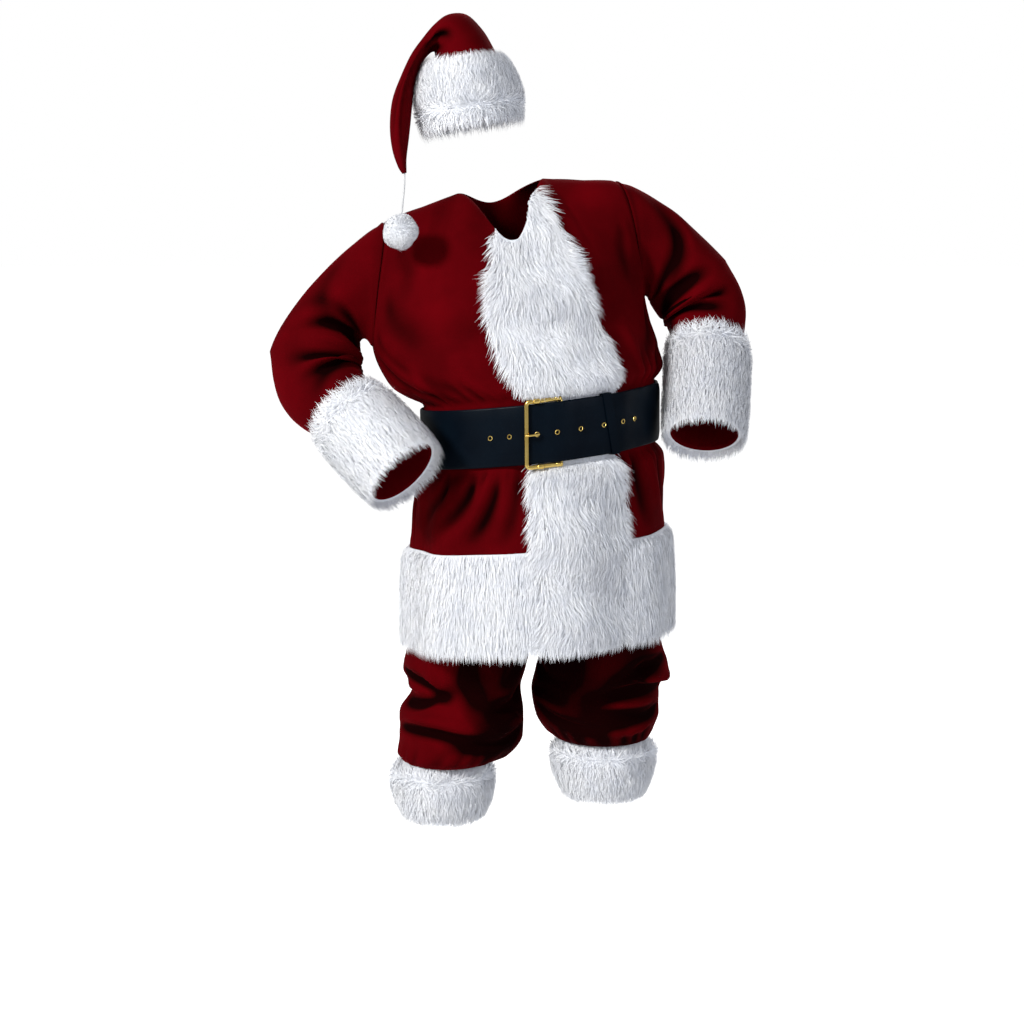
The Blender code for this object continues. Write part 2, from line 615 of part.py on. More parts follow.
def swept_bar(name, centres, radius, closed, material_name, sides=8):
    """A round bar along the given centres."""
    count = len(centres)
    builder = bmesh.new()
    rings = []
    for k, centre in enumerate(centres):
        if closed:
            along = centres[(k + 1) % count] - centres[k - 1]
        else:
            along = centres[min(k + 1, count - 1)] - centres[max(k - 1, 0)]
        along.normalize()
        across = along.cross(Vector((0.0, -1.0, 0.03))).normalized()
        other = along.cross(across)
        ring = []
        for s in range(sides):
            a = 2 * math.pi * s / sides
            ring.append(builder.verts.new(centre + (across * math.cos(a) + other * math.sin(a)) * radius))
        rings.append(ring)
    for k in range(count if closed else count - 1):
        first, second = rings[k], rings[(k + 1) % count]
        for s in range(sides):
            t = (s + 1) % sides
            builder.faces.new((first[s], first[t], second[t], second[s]))
    if not closed:
        builder.faces.new(rings[0])
        builder.faces.new(list(reversed(rings[-1])))
    return add_mesh(name, builder, material_name)


def make_buckle():
    """The rectangular frame: one bar under the strap, the other over it."""
    half = BELT_WIDTH / 2 + BUCKLE_BAR + BUCKLE_CLEARANCE
    corner = BUCKLE_CORNER
    over = BELT_THICKNESS * 2 + 4 * SEAM + BUCKLE_BAR
    under = BUCKLE_BAR + SEAM
    rise = math.degrees(corner / BELT_HALF_WIDTH)
    centres = []

    def bar_out(turn):
        share = (turn - HINGE_TURN) / (PRONG_BAR_TURN - HINGE_TURN)
        return under + (over - under) * ramp(0.15, 0.80, share)

    for height in (-half + corner, -half / 2, 0.0, half / 2, half - corner):
        centres.append(belt_point(PRONG_BAR_TURN, height, bar_out(PRONG_BAR_TURN)))
    for share in (0.0, 0.25, 0.5, 0.75, 1.0):
        turn = PRONG_BAR_TURN + rise + (HINGE_TURN - PRONG_BAR_TURN - 2 * rise) * share
        centres.append(belt_point(turn, half, bar_out(turn)))
    for height in (half - corner, half / 2, 0.0, -half / 2, -half + corner):
        centres.append(belt_point(HINGE_TURN, height, under))
    for share in (1.0, 0.75, 0.5, 0.25, 0.0):
        turn = PRONG_BAR_TURN + rise + (HINGE_TURN - PRONG_BAR_TURN - 2 * rise) * share
        centres.append(belt_point(turn, -half, bar_out(turn)))
    swept_bar("belt_buckle_frame", centres, BUCKLE_BAR, True, "brass")


def make_prong():
    """The pin rises from its eyelet and lies across the outer bar."""
    above_tail = 2 * BELT_THICKNESS + 6 * SEAM + PRONG_RADIUS
    above_bar = above_tail + 2 * BUCKLE_BAR + SEAM
    pierced = EYELET_TURNS[2]
    centres = [
        belt_point(pierced + 0.9, 0.0, above_tail + 0.0012),
        belt_point(pierced + 0.1, 0.0, above_tail + 0.0035),
        belt_point(PRONG_BAR_TURN + 1.6, 0.0, above_bar),
        belt_point(PRONG_BAR_TURN, 0.0, above_bar + 0.0006),
        belt_point(PRONG_BAR_TURN - 1.6, 0.0, above_bar - 0.0004),
    ]
    swept_bar("belt_buckle_prong", centres, PRONG_RADIUS, False, "brass")


def make_keeper():
    """A thin loop round both layers of the strap, a little aslant."""
    half = BELT_WIDTH / 2 + 4 * SEAM
    low = -3 * SEAM
    high = 2 * BELT_THICKNESS + 6 * SEAM
    wall = KEEPER_THICKNESS
    width = math.degrees(KEEPER_WIDTH / 2 / BELT_FRONT)
    outer, inner = [], []
    for across in (-width, width):
        outer_ring, inner_ring = [], []
        for top in (-1.0, -0.34, 0.34, 1.0):
            turn = KEEPER_TURN + across - KEEPER_LEAN * top
            outer_ring.append(belt_point(turn, top * (half + wall), high + wall))
            inner_ring.append(belt_point(turn, top * half, high))
        for top in (1.0, 0.34, -0.34, -1.0):
            turn = KEEPER_TURN + across - KEEPER_LEAN * top
            outer_ring.append(belt_point(turn, top * (half + wall), low - wall))
            inner_ring.append(belt_point(turn, top * half, low))
        outer.append(outer_ring)
        inner.append(inner_ring)
    layered_solid("belt_keeper", outer, inner, True, "belt_leather")


def make_eyelets():
    for number, turn in enumerate(EYELET_TURNS, start=1):
        centre, before, after = (belt_point(turn + step, 0.0, tail_lift(turn + step) + BELT_THICKNESS)
                                 for step in (0.0, -2.0, 2.0))
        up = (belt_point(turn, 0.01, 0.0) - belt_point(turn, -0.01, 0.0)).normalized()
        across = (after - before).normalized()
        outward = across.cross(up).normalized()
        centre += outward * 3 * SEAM
        outer, inner = [], []
        for row in EYELET_ROWS:
            outer_ring, inner_ring = [], []
            for k in range(EYELET_SIDES):
                a = 2 * math.pi * k / EYELET_SIDES
                ray = across * math.cos(a) + up * math.sin(a)
                outer_ring.append(centre + ray * EYELET_RADIUS * row.rim + outward * row.height)
                inner_ring.append(centre + ray * EYELET_RADIUS * row.bore + outward * row.height)
            outer.append(outer_ring)
            inner.append(inner_ring)
        layered_solid(f"belt_eyelet_{number}", outer, inner, True, "brass")


# ---------------------------------------------------------------- trousers
def leg_point(rows, side, face, share, height):
    """share runs from the seam nearest the centre line (0) round to the outer seam (1)."""
    inner = reading(rows, height, "inner") + SEAM / 2
    outer = reading(rows, height, "outer")
    depth = reading(rows, height, "front" if face < 0 else "back")
    first = math.radians(reading(rows, height, "turn"))
    radius = (outer - inner) / (1.0 - math.sin(first))
    centre = inner - radius * math.sin(first)
    turn = first + (math.pi / 2 - first) * share
    return Vector((TROUSER_CENTRE + side * (centre + radius * math.sin(turn)),
                   face * depth * math.cos(turn), height))


def make_trouser_panel(name, rows, side, face):
    trim = 0.0012
    shares = [trim + (1.0 - 2 * trim) * share for share in LEG_SHARES]
    top, bottom = rows[0].height, rows[-1].height
    points, normals = [], []
    for row in rows:
        line, line_normals = [], []
        for share in shares:
            here = leg_point(rows, side, face, share, row.height)
            across = (leg_point(rows, side, face, share + NAP, row.height)
                      - leg_point(rows, side, face, share - NAP, row.height))
            high = min(row.height + NAP, top)
            low = max(high - 2 * NAP, bottom)
            along = (leg_point(rows, side, face, share, low + 2 * NAP)
                     - leg_point(rows, side, face, share, low))
            line.append(here)
            line_normals.append(across.cross(along).normalized() * (side * -face))
        points.append(line)
        normals.append(line_normals)
    layered_solid(name, points, moved(points, normals, -CLOTH), False, "velvet")


def make_leg_fur(side_name):
    outer, inner = [], []
    for row in LEG_FUR_ROWS:
        height = LEG_FUR_TOP[side_name] + row.height
        for radius, rings in ((row.outer, outer), (row.inner, inner)):
            ring = []
            for k in range(ROUND_COLUMNS):
                a = 2 * math.pi * k / ROUND_COLUMNS
                across = LEG_FUR_X[side_name] + radius * math.cos(a)
                ring.append(Vector((across, radius * math.sin(a), height)))
            rings.append(ring)
    layered_solid(f"leg_fur_{side_name}", outer, inner, True, "fur")


# ---------------------------------------------------------------- hat
def hat_grid():
    """Rings of the crown, each from its left end to its right end, folded over to the wearer's right."""
    rings, centres = [], []
    for row in HAT_ROWS:
        left = Vector((row.left_x, row.y, row.left_z))
        right = Vector((row.right_x, row.y, row.right_z))
        centre = (left + right) / 2
        front = Vector((0.0, -row.half_depth, 0.0))
        turns = [2 * math.pi * c / ROUND_COLUMNS for c in range(ROUND_COLUMNS)]
        rings.append([centre + (right - left) / 2 * math.cos(a) + front * math.sin(a) for a in turns])
        centres.append(centre)
    return rings, grid_normals(rings, centres)


def make_hat():
    rings, normals = hat_grid()
    layered_solid("hat_crown", rings, moved(rings, normals, -CLOTH), True, "velvet")
    band, band_normals = rings[:HAT_BAND_ROWS], normals[:HAT_BAND_ROWS]
    outer = moved(band, band_normals, [SEAM + reach for reach in HAT_BAND_REACH])
    layered_solid("hat_fur_band", outer, moved(band, band_normals, SEAM), True, "fur")


def make_hat_cord():
    route = [Vector(point) for point in HAT_CORD_ROUTE]
    count = HAT_CORD_STEPS
    curve = bpy.data.curves.new("hat_cord", "CURVE")
    curve.dimensions = "3D"
    curve.bevel_depth = HAT_CORD_DIAMETER / 2
    curve.bevel_resolution = 2
    curve.use_fill_caps = True
    spline = curve.splines.new("POLY")
    spline.points.add(count)
    for k in range(count + 1):
        spline.points[k].co = (*curve_point(route, k / count), 1.0)
    curve.materials.append(material("cord"))
    cord = bpy.data.objects.new("hat_cord", curve)
    bpy.context.scene.collection.objects.link(cord)


def make_pompom():
    builder = bmesh.new()
    bmesh.ops.create_icosphere(builder, subdivisions=2, radius=POMPOM_RADIUS,
                               matrix=Matrix.Translation(POMPOM_CENTRE))
    add_mesh("hat_pompom", builder, "fur")


# ---------------------------------------------------------------- build
def main():
    for thing in list(bpy.data.objects):
        bpy.data.objects.remove(thing, do_unlink=True)
    make_jacket_panel("jacket_front_right", RIGHT_FRONT_TURNS)
    make_jacket_panel("jacket_front_left", LEFT_FRONT_TURNS)
    make_jacket_panel("jacket_back", BACK_TURNS)
    make_sleeve("right", -1.0, RIGHT_SLEEVE)
    make_sleeve("left", 1.0, LEFT_SLEEVE)
    make_hem_fur()
    make_placket_fur()
    make_belt_strap()
    make_buckle()
    make_prong()
    make_keeper()
    make_eyelets()
    for side_name, side, rows in (("right", -1.0, RIGHT_LEG), ("left", 1.0, LEFT_LEG)):
        for face_name, face in (("front", -1.0), ("back", 1.0)):
            make_trouser_panel(f"trouser_{face_name}_{side_name}", rows, side, face)
        make_leg_fur(side_name)
    make_hat()
    make_hat_cord()
    make_pompom()


main()
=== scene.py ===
# %% [markdown]
# # A santa suit, posed as worn
# The suit is a velvet jacket, trousers and a long pointed cap, edged with white plush fur and closed
# with a wide belt. A costume maker cuts flat panels and sews them into tubes; the body inside then
# gives them their shape. Here each panel is a thin shell made from the same surface function as its
# plain solid in the frame, with the folds pressed in, and the fur is grown on it in strands.

# %% The frame
import math
from collections import namedtuple

import bpy
import numpy as np
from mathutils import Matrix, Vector


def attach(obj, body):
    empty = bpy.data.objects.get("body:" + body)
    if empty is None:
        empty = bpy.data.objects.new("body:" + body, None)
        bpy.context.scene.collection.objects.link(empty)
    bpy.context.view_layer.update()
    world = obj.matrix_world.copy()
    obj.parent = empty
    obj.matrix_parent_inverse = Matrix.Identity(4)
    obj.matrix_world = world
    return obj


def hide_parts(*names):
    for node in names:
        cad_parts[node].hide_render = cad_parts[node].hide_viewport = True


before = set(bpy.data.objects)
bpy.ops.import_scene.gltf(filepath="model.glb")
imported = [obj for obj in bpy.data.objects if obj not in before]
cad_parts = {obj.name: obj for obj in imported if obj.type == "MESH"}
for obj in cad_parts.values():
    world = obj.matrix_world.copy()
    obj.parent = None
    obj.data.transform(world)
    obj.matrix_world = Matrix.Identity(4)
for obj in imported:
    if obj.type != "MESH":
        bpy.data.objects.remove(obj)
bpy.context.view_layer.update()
print("frame nodes:", len(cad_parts))

# %% [markdown]
# ## Reading the body's shape
# A cutter works from a table of girths, one for each height. The same tables that shaped the plain
# solids are repeated here and read with a curve that never overshoots a row, so that the shells made
# below lie exactly where the solids lie.

# %% Number helpers
def ramp(low, high, value):
    share = np.clip((np.asarray(value, float) - low) / (high - low), 0.0, 1.0)
    return share * share * (3.0 - 2.0 * share)


def even_turns(count):
    """Angles spaced evenly once round."""
    return np.arange(count) * 2 * np.pi / count


def oval_points(angle, first, second):
    """Steps from the middle of an oval to its edge, from its two half axes."""
    return np.cos(angle)[:, None] * first + np.sin(angle)[:, None] * second


def unit(vectors):
    return vectors / np.maximum(np.linalg.norm(vectors, axis=-1, keepdims=True), 1e-12)


def reading(table, column, at):
    """One named column of a height table, read at an array of heights."""
    rows = sorted(table, key=lambda row: row.height)
    keys = np.array([row.height for row in rows])
    values = np.array([getattr(row, column) for row in rows], float)
    slopes = np.diff(values) / np.diff(keys)
    product = slopes[:-1] * slopes[1:]
    total = np.where(product > 0, slopes[:-1] + slopes[1:], 1.0)
    tangents = np.concatenate([slopes[:1], np.where(product > 0, 2 * product / total, 0.0), slopes[-1:]])
    at = np.asarray(at, float)
    k = np.clip(np.searchsorted(keys, at, side="right") - 1, 0, len(keys) - 2)
    span = keys[k + 1] - keys[k]
    t = (at - keys[k]) / span
    return (values[k] * (2 * t**3 - 3 * t**2 + 1) + values[k + 1] * (3 * t**2 - 2 * t**3)
            + span * (tangents[k] * (t**3 - 2 * t**2 + t) + tangents[k + 1] * (t**3 - t**2)))


def curve_point(points, along):
    """A point on the smooth curve through the given vectors; along runs from 0 to 1."""
    spans = len(points) - 1
    place = min(max(along, 0.0), 1.0) * spans
    k = min(int(place), spans - 1)
    t = place - k
    before = points[k - 1] if k > 0 else points[0] * 2 - points[1]
    after = points[k + 2] if k + 2 <= spans else points[-1] * 2 - points[-2]
    start, end = points[k], points[k + 1]
    return 0.5 * (2 * start + (end - before) * t + (2 * before - 5 * start + 4 * end - after) * t**2
                  + (3 * start - before - 3 * end + after) * t**3)


def bezier(start, leave, arrive, end, t):
    s = 1.0 - t
    return start * s**3 + leave * (3 * s * s * t) + arrive * (3 * s * t * t) + end * t**3

# %% Cloth and fur sizes, in metres; heights are measured from the shoulders
CLOTH = 0.0015
SEAM = 0.0003
PLUSH = 0.0085            # depth of the dense pile that the long strands grow from

ARMPIT = -0.238
YOKE_RISE = 0.22          # length of the panels above the armpits
HEM = -0.815
HEM_FUR_TOP = -0.640
NECK_HALF_WIDTH = 0.082
NECK_FRONT = 0.100        # depth of the neck opening before and behind the shoulder line
NECK_BACK = 0.062
NECK_TOP = 0.014
NECK_FRONT_DROP = 0.104
NECK_BACK_DROP = 0.026
NECK_SHARE = 40.0 / 90.0  # share of a quarter panel's top edge that lies at the neck
SHOULDER_HALF_WIDTH = 0.222
SHOULDER_TIP = -0.014
ARMHOLE_BULGE = 0.105
PLACKET_RIGHT = -14.0     # edges of the front strip, in degrees round from the centre front
PLACKET_LEFT = 27.0
BELT_MIDDLE = -0.427
BELT_WIDTH = 0.108

Section = namedtuple("Section", "height half_width front back")
Posture = namedtuple("Posture", "height lean tilt yaw")
JACKET_SECTIONS = (
    Section(-0.840, 0.2520, 0.215, 0.214),
    Section(-0.640, 0.2435, 0.210, 0.204),
    Section(-0.560, 0.2390, 0.207, 0.184),
    Section(-0.510, 0.2320, 0.200, 0.157),
    Section(-0.486, 0.2190, 0.185, 0.134),
    Section(-0.427, 0.2180, 0.184, 0.133),
    Section(-0.368, 0.2190, 0.185, 0.134),
    Section(-0.345, 0.2420, 0.194, 0.142),
    Section(-0.305, 0.2560, 0.188, 0.144),
    Section(-0.238, 0.2587, 0.162, 0.137),
    Section(-0.200, 0.2590, 0.150, 0.135),
)
POSTURE = (
    Posture(-0.840, 0.0885, 3.0, 15.0),
    Posture(-0.640, 0.0870, 4.5, 14.0),
    Posture(-0.495, 0.0875, 6.5, 12.0),
    Posture(-0.365, 0.0865, 6.5, 12.0),
    Posture(-0.320, 0.0620, 8.5, 12.0),
    Posture(-0.240, 0.0320, 10.0, 12.0),
    Posture(-0.100, 0.0180, 10.0, 12.0),
    Posture(0.050, 0.0120, 10.0, 12.0),
)

# %% How the jacket stands
def posed(points):
    """Lean, tilt and turn the upright jacket the way the body stands."""
    x, y, z = points[..., 0], points[..., 1], points[..., 2]
    yaw = np.radians(reading(POSTURE, "yaw", z))
    tilt = np.radians(reading(POSTURE, "tilt", z))
    across = x * np.cos(yaw) - y * np.sin(yaw)
    deep = x * np.sin(yaw) + y * np.cos(yaw)
    return np.stack([across + reading(POSTURE, "lean", z), deep, z + across * np.tan(tilt)], -1)


def spine(level):
    """The middle of the jacket at each level; surfaces are turned to face away from it."""
    return posed(np.stack([0 * level, 0 * level, ARMPIT + np.minimum(level, 0.1)], -1))


def off_belt(height):
    """How far a height is from the nearer edge of the belt; negative under the belt."""
    return np.abs(height - BELT_MIDDLE) - BELT_WIDTH / 2

# %% The jacket's surface
def torso_points(angle, height):
    depth = 0.0045 * ramp(-0.505, -0.575, height)
    wave = depth * (np.cos(7.0 * angle + 0.6) + 0.6 * np.cos(11.0 * angle - 0.9))
    half_width = reading(JACKET_SECTIONS, "half_width", height) + wave
    front = reading(JACKET_SECTIONS, "front", height)
    back = reading(JACKET_SECTIONS, "back", height)
    deep = np.where(np.cos(angle) > 0, front, back) + wave
    return np.stack([half_width * np.sin(angle), -deep * np.cos(angle), height + 0 * angle], -1)


def top_edge(side, face, share):
    along = np.clip(share / NECK_SHARE, 0.0, 1.0)
    depth = np.where(face < 0, NECK_FRONT, NECK_BACK)
    drop = np.where(face < 0, NECK_FRONT_DROP, NECK_BACK_DROP)
    out = np.clip((share - NECK_SHARE) / (1.0 - NECK_SHARE), 0.0, 1.0)
    x = side * (NECK_HALF_WIDTH * along + (SHOULDER_HALF_WIDTH - NECK_HALF_WIDTH) * out)
    y = face * depth * (1.0 - along**1.6)
    z = NECK_TOP - drop * np.cos(along * np.pi / 2)**2 + (SHOULDER_TIP - NECK_TOP) * out
    return np.stack([x, y, z], -1)


def yoke_points(side, face, share, rise):
    """Above the armpits: share 0 is the centre line, 1 the armhole; rise 1 is the shoulder."""
    quarter = share * np.pi / 2
    start = torso_points(side * np.where(face < 0, quarter, np.pi - quarter), ARMPIT + 0 * share)
    end = top_edge(side, face, share)
    to_armhole = np.maximum(0.0, (share - 0.40) / 0.60)**2
    lift = 0.052 + 0.060 * ramp(0.15, 0.55, share)
    none = 0 * share
    leave = np.stack([none, face * 0.055 * to_armhole, lift * (1.0 - 0.45 * to_armhole)], -1)
    over = ramp(0.08, NECK_SHARE, share)
    arrival = 0.060 + (ARMHOLE_BULGE - 0.060) * ramp(0.50, 1.0, share)
    arrive = np.stack([none, face * (arrival * over + 0.014 * (1.0 - over)), -0.045 * (1.0 - over)], -1)
    return bezier(start, start + leave, end + arrive, end, rise[..., None])


def jacket_points(turn, level):
    """turn in degrees round from the centre front; level in metres from the armpit row."""
    below = torso_points(np.radians(turn), ARMPIT + np.minimum(level, 0.0))
    side = np.where((turn < 0) | (turn > 180), -1.0, 1.0)
    face = np.where(np.abs(turn) <= 90.0, -1.0, 1.0)
    share = np.where(face < 0, np.abs(turn) / 90.0, np.abs(180.0 - turn) / 90.0)
    above = yoke_points(side, face, np.clip(share, 0, 1), np.clip(level / YOKE_RISE, 0.0, 1.0))
    return posed(np.where((level <= 0.0)[..., None], below, above))

# %% [markdown]
# ## Folds
# Velvet is heavy and soft. It doesn't wrinkle finely: it falls in a few long, round ridges and
# valleys that start where the cloth is held, at the belt, the armhole or a bent elbow, and die out.
# Each fold below is one line on the flat cloth with a bow, a width and a depth. A few listed rows give
# folds that are uneven in length, depth and spacing, which a simulation of a whole suit
# over an unseen body would not.

# %% Fold lines
Fold = namedtuple("Fold", "across up to_across to_up bow width depth")


def relief(across, up, folds):
    """Height of the cloth over its plain form, in metres, from lines given in metres on the cloth."""
    total = np.zeros(np.broadcast(across, up).shape)
    for fold in folds:
        run, climb = fold.to_across - fold.across, fold.to_up - fold.up
        length = math.hypot(run, climb)
        along = ((across - fold.across) * run + (up - fold.up) * climb) / length**2
        clipped = np.clip(along, 0.0, 1.0)
        aside = ((across - fold.across) * climb - (up - fold.up) * run) / length
        aside = aside - fold.bow * 4.0 * clipped * (1.0 - clipped)
        width = fold.width * (0.65 + 0.7 * clipped)
        fade = ramp(-0.12, 0.22, along) * ramp(1.15, 0.62, along)
        total += fold.depth * fade * np.exp(-(aside / width)**2)
    return total


def ripple(across, up, size, seed):
    """A slow unevenness, so that no stretch of cloth is perfectly smooth."""
    a, b = across / size + seed, up / size - 0.7 * seed
    return (np.sin(2.1 * a + 1.3 * np.sin(1.7 * b)) + np.sin(1.6 * b + 1.9 * np.sin(1.1 * a + seed))) / 2

# %% Directions and grids
def outward(points, wraps, away_from):
    """One direction for each grid point, all on the side turned from a spine of points."""
    if wraps:
        across = np.roll(points, -1, axis=1) - np.roll(points, 1, axis=1)
    else:
        across = np.gradient(points, axis=1)
    normals = unit(np.cross(across, np.gradient(points, axis=0)))
    facing = np.einsum("ijk,ijk->ij", normals, points - away_from).mean()
    return normals if facing >= 0 else -normals


def grid_quads(rows, columns, wraps, closed=False):
    """The numbers of a grid of points, and the four-sided faces between them."""
    index = np.arange(rows * columns).reshape(rows, columns)
    if wraps:
        index = np.hstack([index, index[:, :1]])
    if closed:
        index = np.vstack([index, index[:1]])
    quads = np.stack([index[:-1, :-1], index[:-1, 1:], index[1:, 1:], index[1:, :-1]], -1)
    return index, quads.reshape(-1, 4)


# %% Making meshes
def mesh_object(name, points, faces, smooth, material):
    """A linked object; smooth is one flag for each face."""
    mesh = bpy.data.meshes.new(name)
    mesh.from_pydata(points.reshape(-1, 3).tolist(), [], faces)
    mesh.polygons.foreach_set("use_smooth", smooth)
    mesh.materials.append(material)
    thing = bpy.data.objects.new(name, mesh)
    bpy.context.scene.collection.objects.link(thing)
    return thing


def closed_shell(name, outer, inner, wraps, material, painted_shade_level=None):
    """Two matching grids of points joined at their edges into one closed body."""
    rows, columns = outer.shape[:2]
    count = rows * columns
    vertices = np.concatenate([outer.reshape(-1, 3), inner.reshape(-1, 3)])
    index, sheet = grid_quads(rows, columns, wraps)
    rims = [(index[0, 1:], index[0, :-1]), (index[-1, :-1], index[-1, 1:])]
    if not wraps:
        rims += [(index[:-1, 0], index[1:, 0]), (index[1:, -1], index[:-1, -1])]
    rim = np.concatenate([np.stack([a, b, b + count, a + count], -1) for a, b in rims])
    faces = np.concatenate([sheet, sheet[:, ::-1] + count, rim])
    a, b, c, d = (vertices[faces[:, k]] for k in range(4))
    volume = np.einsum("ij,ij->i", a, np.cross(b, c)) + np.einsum("ij,ij->i", a, np.cross(c, d))
    if volume.sum() < 0:
        faces = faces[:, ::-1]
    smooth = np.arange(len(faces)) < 2 * len(sheet)
    thing = mesh_object(name, vertices, faces.tolist(), smooth, material)
    # painted shade: the level that darkens the velvet's colour is stored on both faces
    if painted_shade_level is not None:
        both = np.concatenate([painted_shade_level.ravel(), painted_shade_level.ravel()]).astype(np.float32)
        thing.data.attributes.new("painted_shade_level", "FLOAT", "POINT").data.foreach_set("value", both)
    return thing


def tube(name, rings, closed, material):
    """Rings of points joined one to the next; an open run is capped at both ends."""
    rings = np.asarray(rings)
    index, quads = grid_quads(*rings.shape[:2], True, closed)
    points = rings.reshape(-1, 3)
    a, b, c = (points[quads[:, k]] for k in range(3))
    volume = np.einsum("ij,ij->i", a - a.mean(0), np.cross(b - a, c - a)).sum()
    faces = quads.tolist()
    if not closed:
        faces += [index[0, :-1][::-1].tolist(), index[-1, :-1].tolist()]
    if volume < 0:
        faces = [face[::-1] for face in faces]
    return mesh_object(name, points, faces, np.ones(len(faces), bool), material)

# %% Putting a piece in place of its plain solid
def stands_for(thing, node=None):
    """A piece is attached to the root body; the plain solid that it is shown instead of is hidden."""
    if node:
        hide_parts(node)
    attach(thing, "root")
    return thing

# %% [markdown]
# ## Materials
# Velvet is woven with a short upright pile. Light enters the pile and is lost, so the cloth is deep
# and dark seen straight on and glows where it turns away. That glow is the shader's sheen. The pile
# is also pushed about by handling, which makes soft clouds of lighter and darker red.

# %% Shared effects
CREASE_DEPTH = 0.0085     # a crease this deep gets the darkest painted shade


def set_inputs(node, **values):
    """Set a node's inputs by name; an underscore stands for a space. Returns the node."""
    for label, value in values.items():
        node.inputs[label.replace("_", " ")].default_value = value
    return node


def shader_group(name, inputs, outputs):
    """An empty node group with named sockets; each is (name, kind, value)."""
    group = bpy.data.node_groups.new(name, "ShaderNodeTree")
    for label, kind, value in inputs:
        socket = group.interface.new_socket(label, in_out="INPUT", socket_type=kind)
        socket.default_value = value
    for label, kind in outputs:
        group.interface.new_socket(label, in_out="OUTPUT", socket_type=kind)
    start = group.nodes.new("NodeGroupInput")
    end = group.nodes.new("NodeGroupOutput")
    return group, start, end


def patchy_colour():
    """Slow clouds of two colours with a fine grain, and a matching small height."""
    group, start, end = shader_group(
        "patchy pile",
        [("Low", "NodeSocketColor", (0, 0, 0, 1)), ("High", "NodeSocketColor", (1, 1, 1, 1)),
         ("Cloud Scale", "NodeSocketFloat", 6.0), ("Grain Scale", "NodeSocketFloat", 900.0),
         ("Grain Share", "NodeSocketFloat", 0.3), ("Crease Shade", "NodeSocketFloat", 0.0)],
        [("Color", "NodeSocketColor"), ("Height", "NodeSocketFloat")])
    nodes, links = group.nodes, group.links
    place = nodes.new("ShaderNodeTexCoord")
    cloud = set_inputs(nodes.new("ShaderNodeTexNoise"), Detail=3.0)
    grain = set_inputs(nodes.new("ShaderNodeTexNoise"), Detail=1.0)
    links.new(place.outputs["Object"], cloud.inputs["Vector"])
    links.new(place.outputs["Object"], grain.inputs["Vector"])
    links.new(start.outputs["Cloud Scale"], cloud.inputs["Scale"])
    links.new(start.outputs["Grain Scale"], grain.inputs["Scale"])
    spread = set_inputs(nodes.new("ShaderNodeMapRange"), From_Min=0.30, From_Max=0.70)
    links.new(cloud.outputs["Fac"], spread.inputs["Value"])
    blend = nodes.new("ShaderNodeMix")
    blend.data_type = "FLOAT"
    links.new(start.outputs["Grain Share"], blend.inputs["Factor"])
    links.new(spread.outputs["Result"], blend.inputs["A"])
    links.new(grain.outputs["Fac"], blend.inputs["B"])
    colour = nodes.new("ShaderNodeMix")
    colour.data_type = "RGBA"
    links.new(blend.outputs["Result"], colour.inputs["Factor"])
    links.new(start.outputs["Low"], colour.inputs["A"])
    links.new(start.outputs["High"], colour.inputs["B"])
    # painted shade: the colour is darkened where the stored level is low, most in the creases
    painted_shade_level = nodes.new("ShaderNodeAttribute")
    painted_shade_level.attribute_name = "painted_shade_level"
    left = nodes.new("ShaderNodeMath")
    left.operation = "SUBTRACT"
    left.inputs[0].default_value = 1.0
    links.new(start.outputs["Crease Shade"], left.inputs[1])
    shade = set_inputs(nodes.new("ShaderNodeMapRange"), From_Min=-CREASE_DEPTH, From_Max=0.0)
    links.new(painted_shade_level.outputs["Fac"], shade.inputs["Value"])
    links.new(left.outputs["Value"], shade.inputs["To Min"])
    darken = nodes.new("ShaderNodeVectorMath")
    darken.operation = "SCALE"
    links.new(colour.outputs["Result"], darken.inputs[0])
    links.new(shade.outputs["Result"], darken.inputs["Scale"])
    links.new(darken.outputs["Vector"], end.inputs["Color"])
    links.new(grain.outputs["Fac"], end.inputs["Height"])
    return group


PATCHY = patchy_colour()

# %% A patchy material
def patchy_material(name, low, high, cloud, grain, share, bump, distance, shade=0.0, **constants):
    """A Principled material coloured and roughened by the shared group."""
    made = bpy.data.materials.new(name)
    made.use_nodes = True
    nodes, links = made.node_tree.nodes, made.node_tree.links
    shader = nodes["Principled BSDF"]
    pile = nodes.new("ShaderNodeGroup")
    pile.node_tree = PATCHY
    set_inputs(pile, Low=(*low, 1), High=(*high, 1), Cloud_Scale=cloud, Grain_Scale=grain,
               Grain_Share=share, Crease_Shade=shade)
    links.new(pile.outputs["Color"], shader.inputs["Base Color"])
    if bump > 0:
        height = set_inputs(nodes.new("ShaderNodeBump"), Strength=bump, Distance=distance)
        links.new(pile.outputs["Height"], height.inputs["Height"])
        links.new(height.outputs["Normal"], shader.inputs["Normal"])
    set_inputs(shader, **constants)
    return made

# %% The six materials
VELVET = patchy_material("plush velvet", low=(0.058, 0.0001, 0.0012), high=(0.120, 0.0003, 0.0024),
                         cloud=9.0, grain=1400.0, share=0.25, bump=0.25, distance=0.0006, shade=0.93,
                         Roughness=0.9, Sheen_Weight=0.15, Sheen_Roughness=0.28,
                         Sheen_Tint=(0.90, 0.005, 0.02, 1), Specular_IOR_Level=0.02)
FUR = patchy_material("fur strand", low=(0.86, 0.88, 0.93), high=(0.97, 0.975, 0.99),
                      cloud=34.0, grain=420.0, share=0.35, bump=0.0, distance=0.001,
                      Roughness=0.8, Sheen_Weight=0.15, Sheen_Roughness=0.5)
PILE = patchy_material("fur pile", low=(0.80, 0.82, 0.88), high=(0.93, 0.94, 0.97),
                       cloud=60.0, grain=700.0, share=0.5, bump=0.6, distance=0.003, Roughness=0.95)
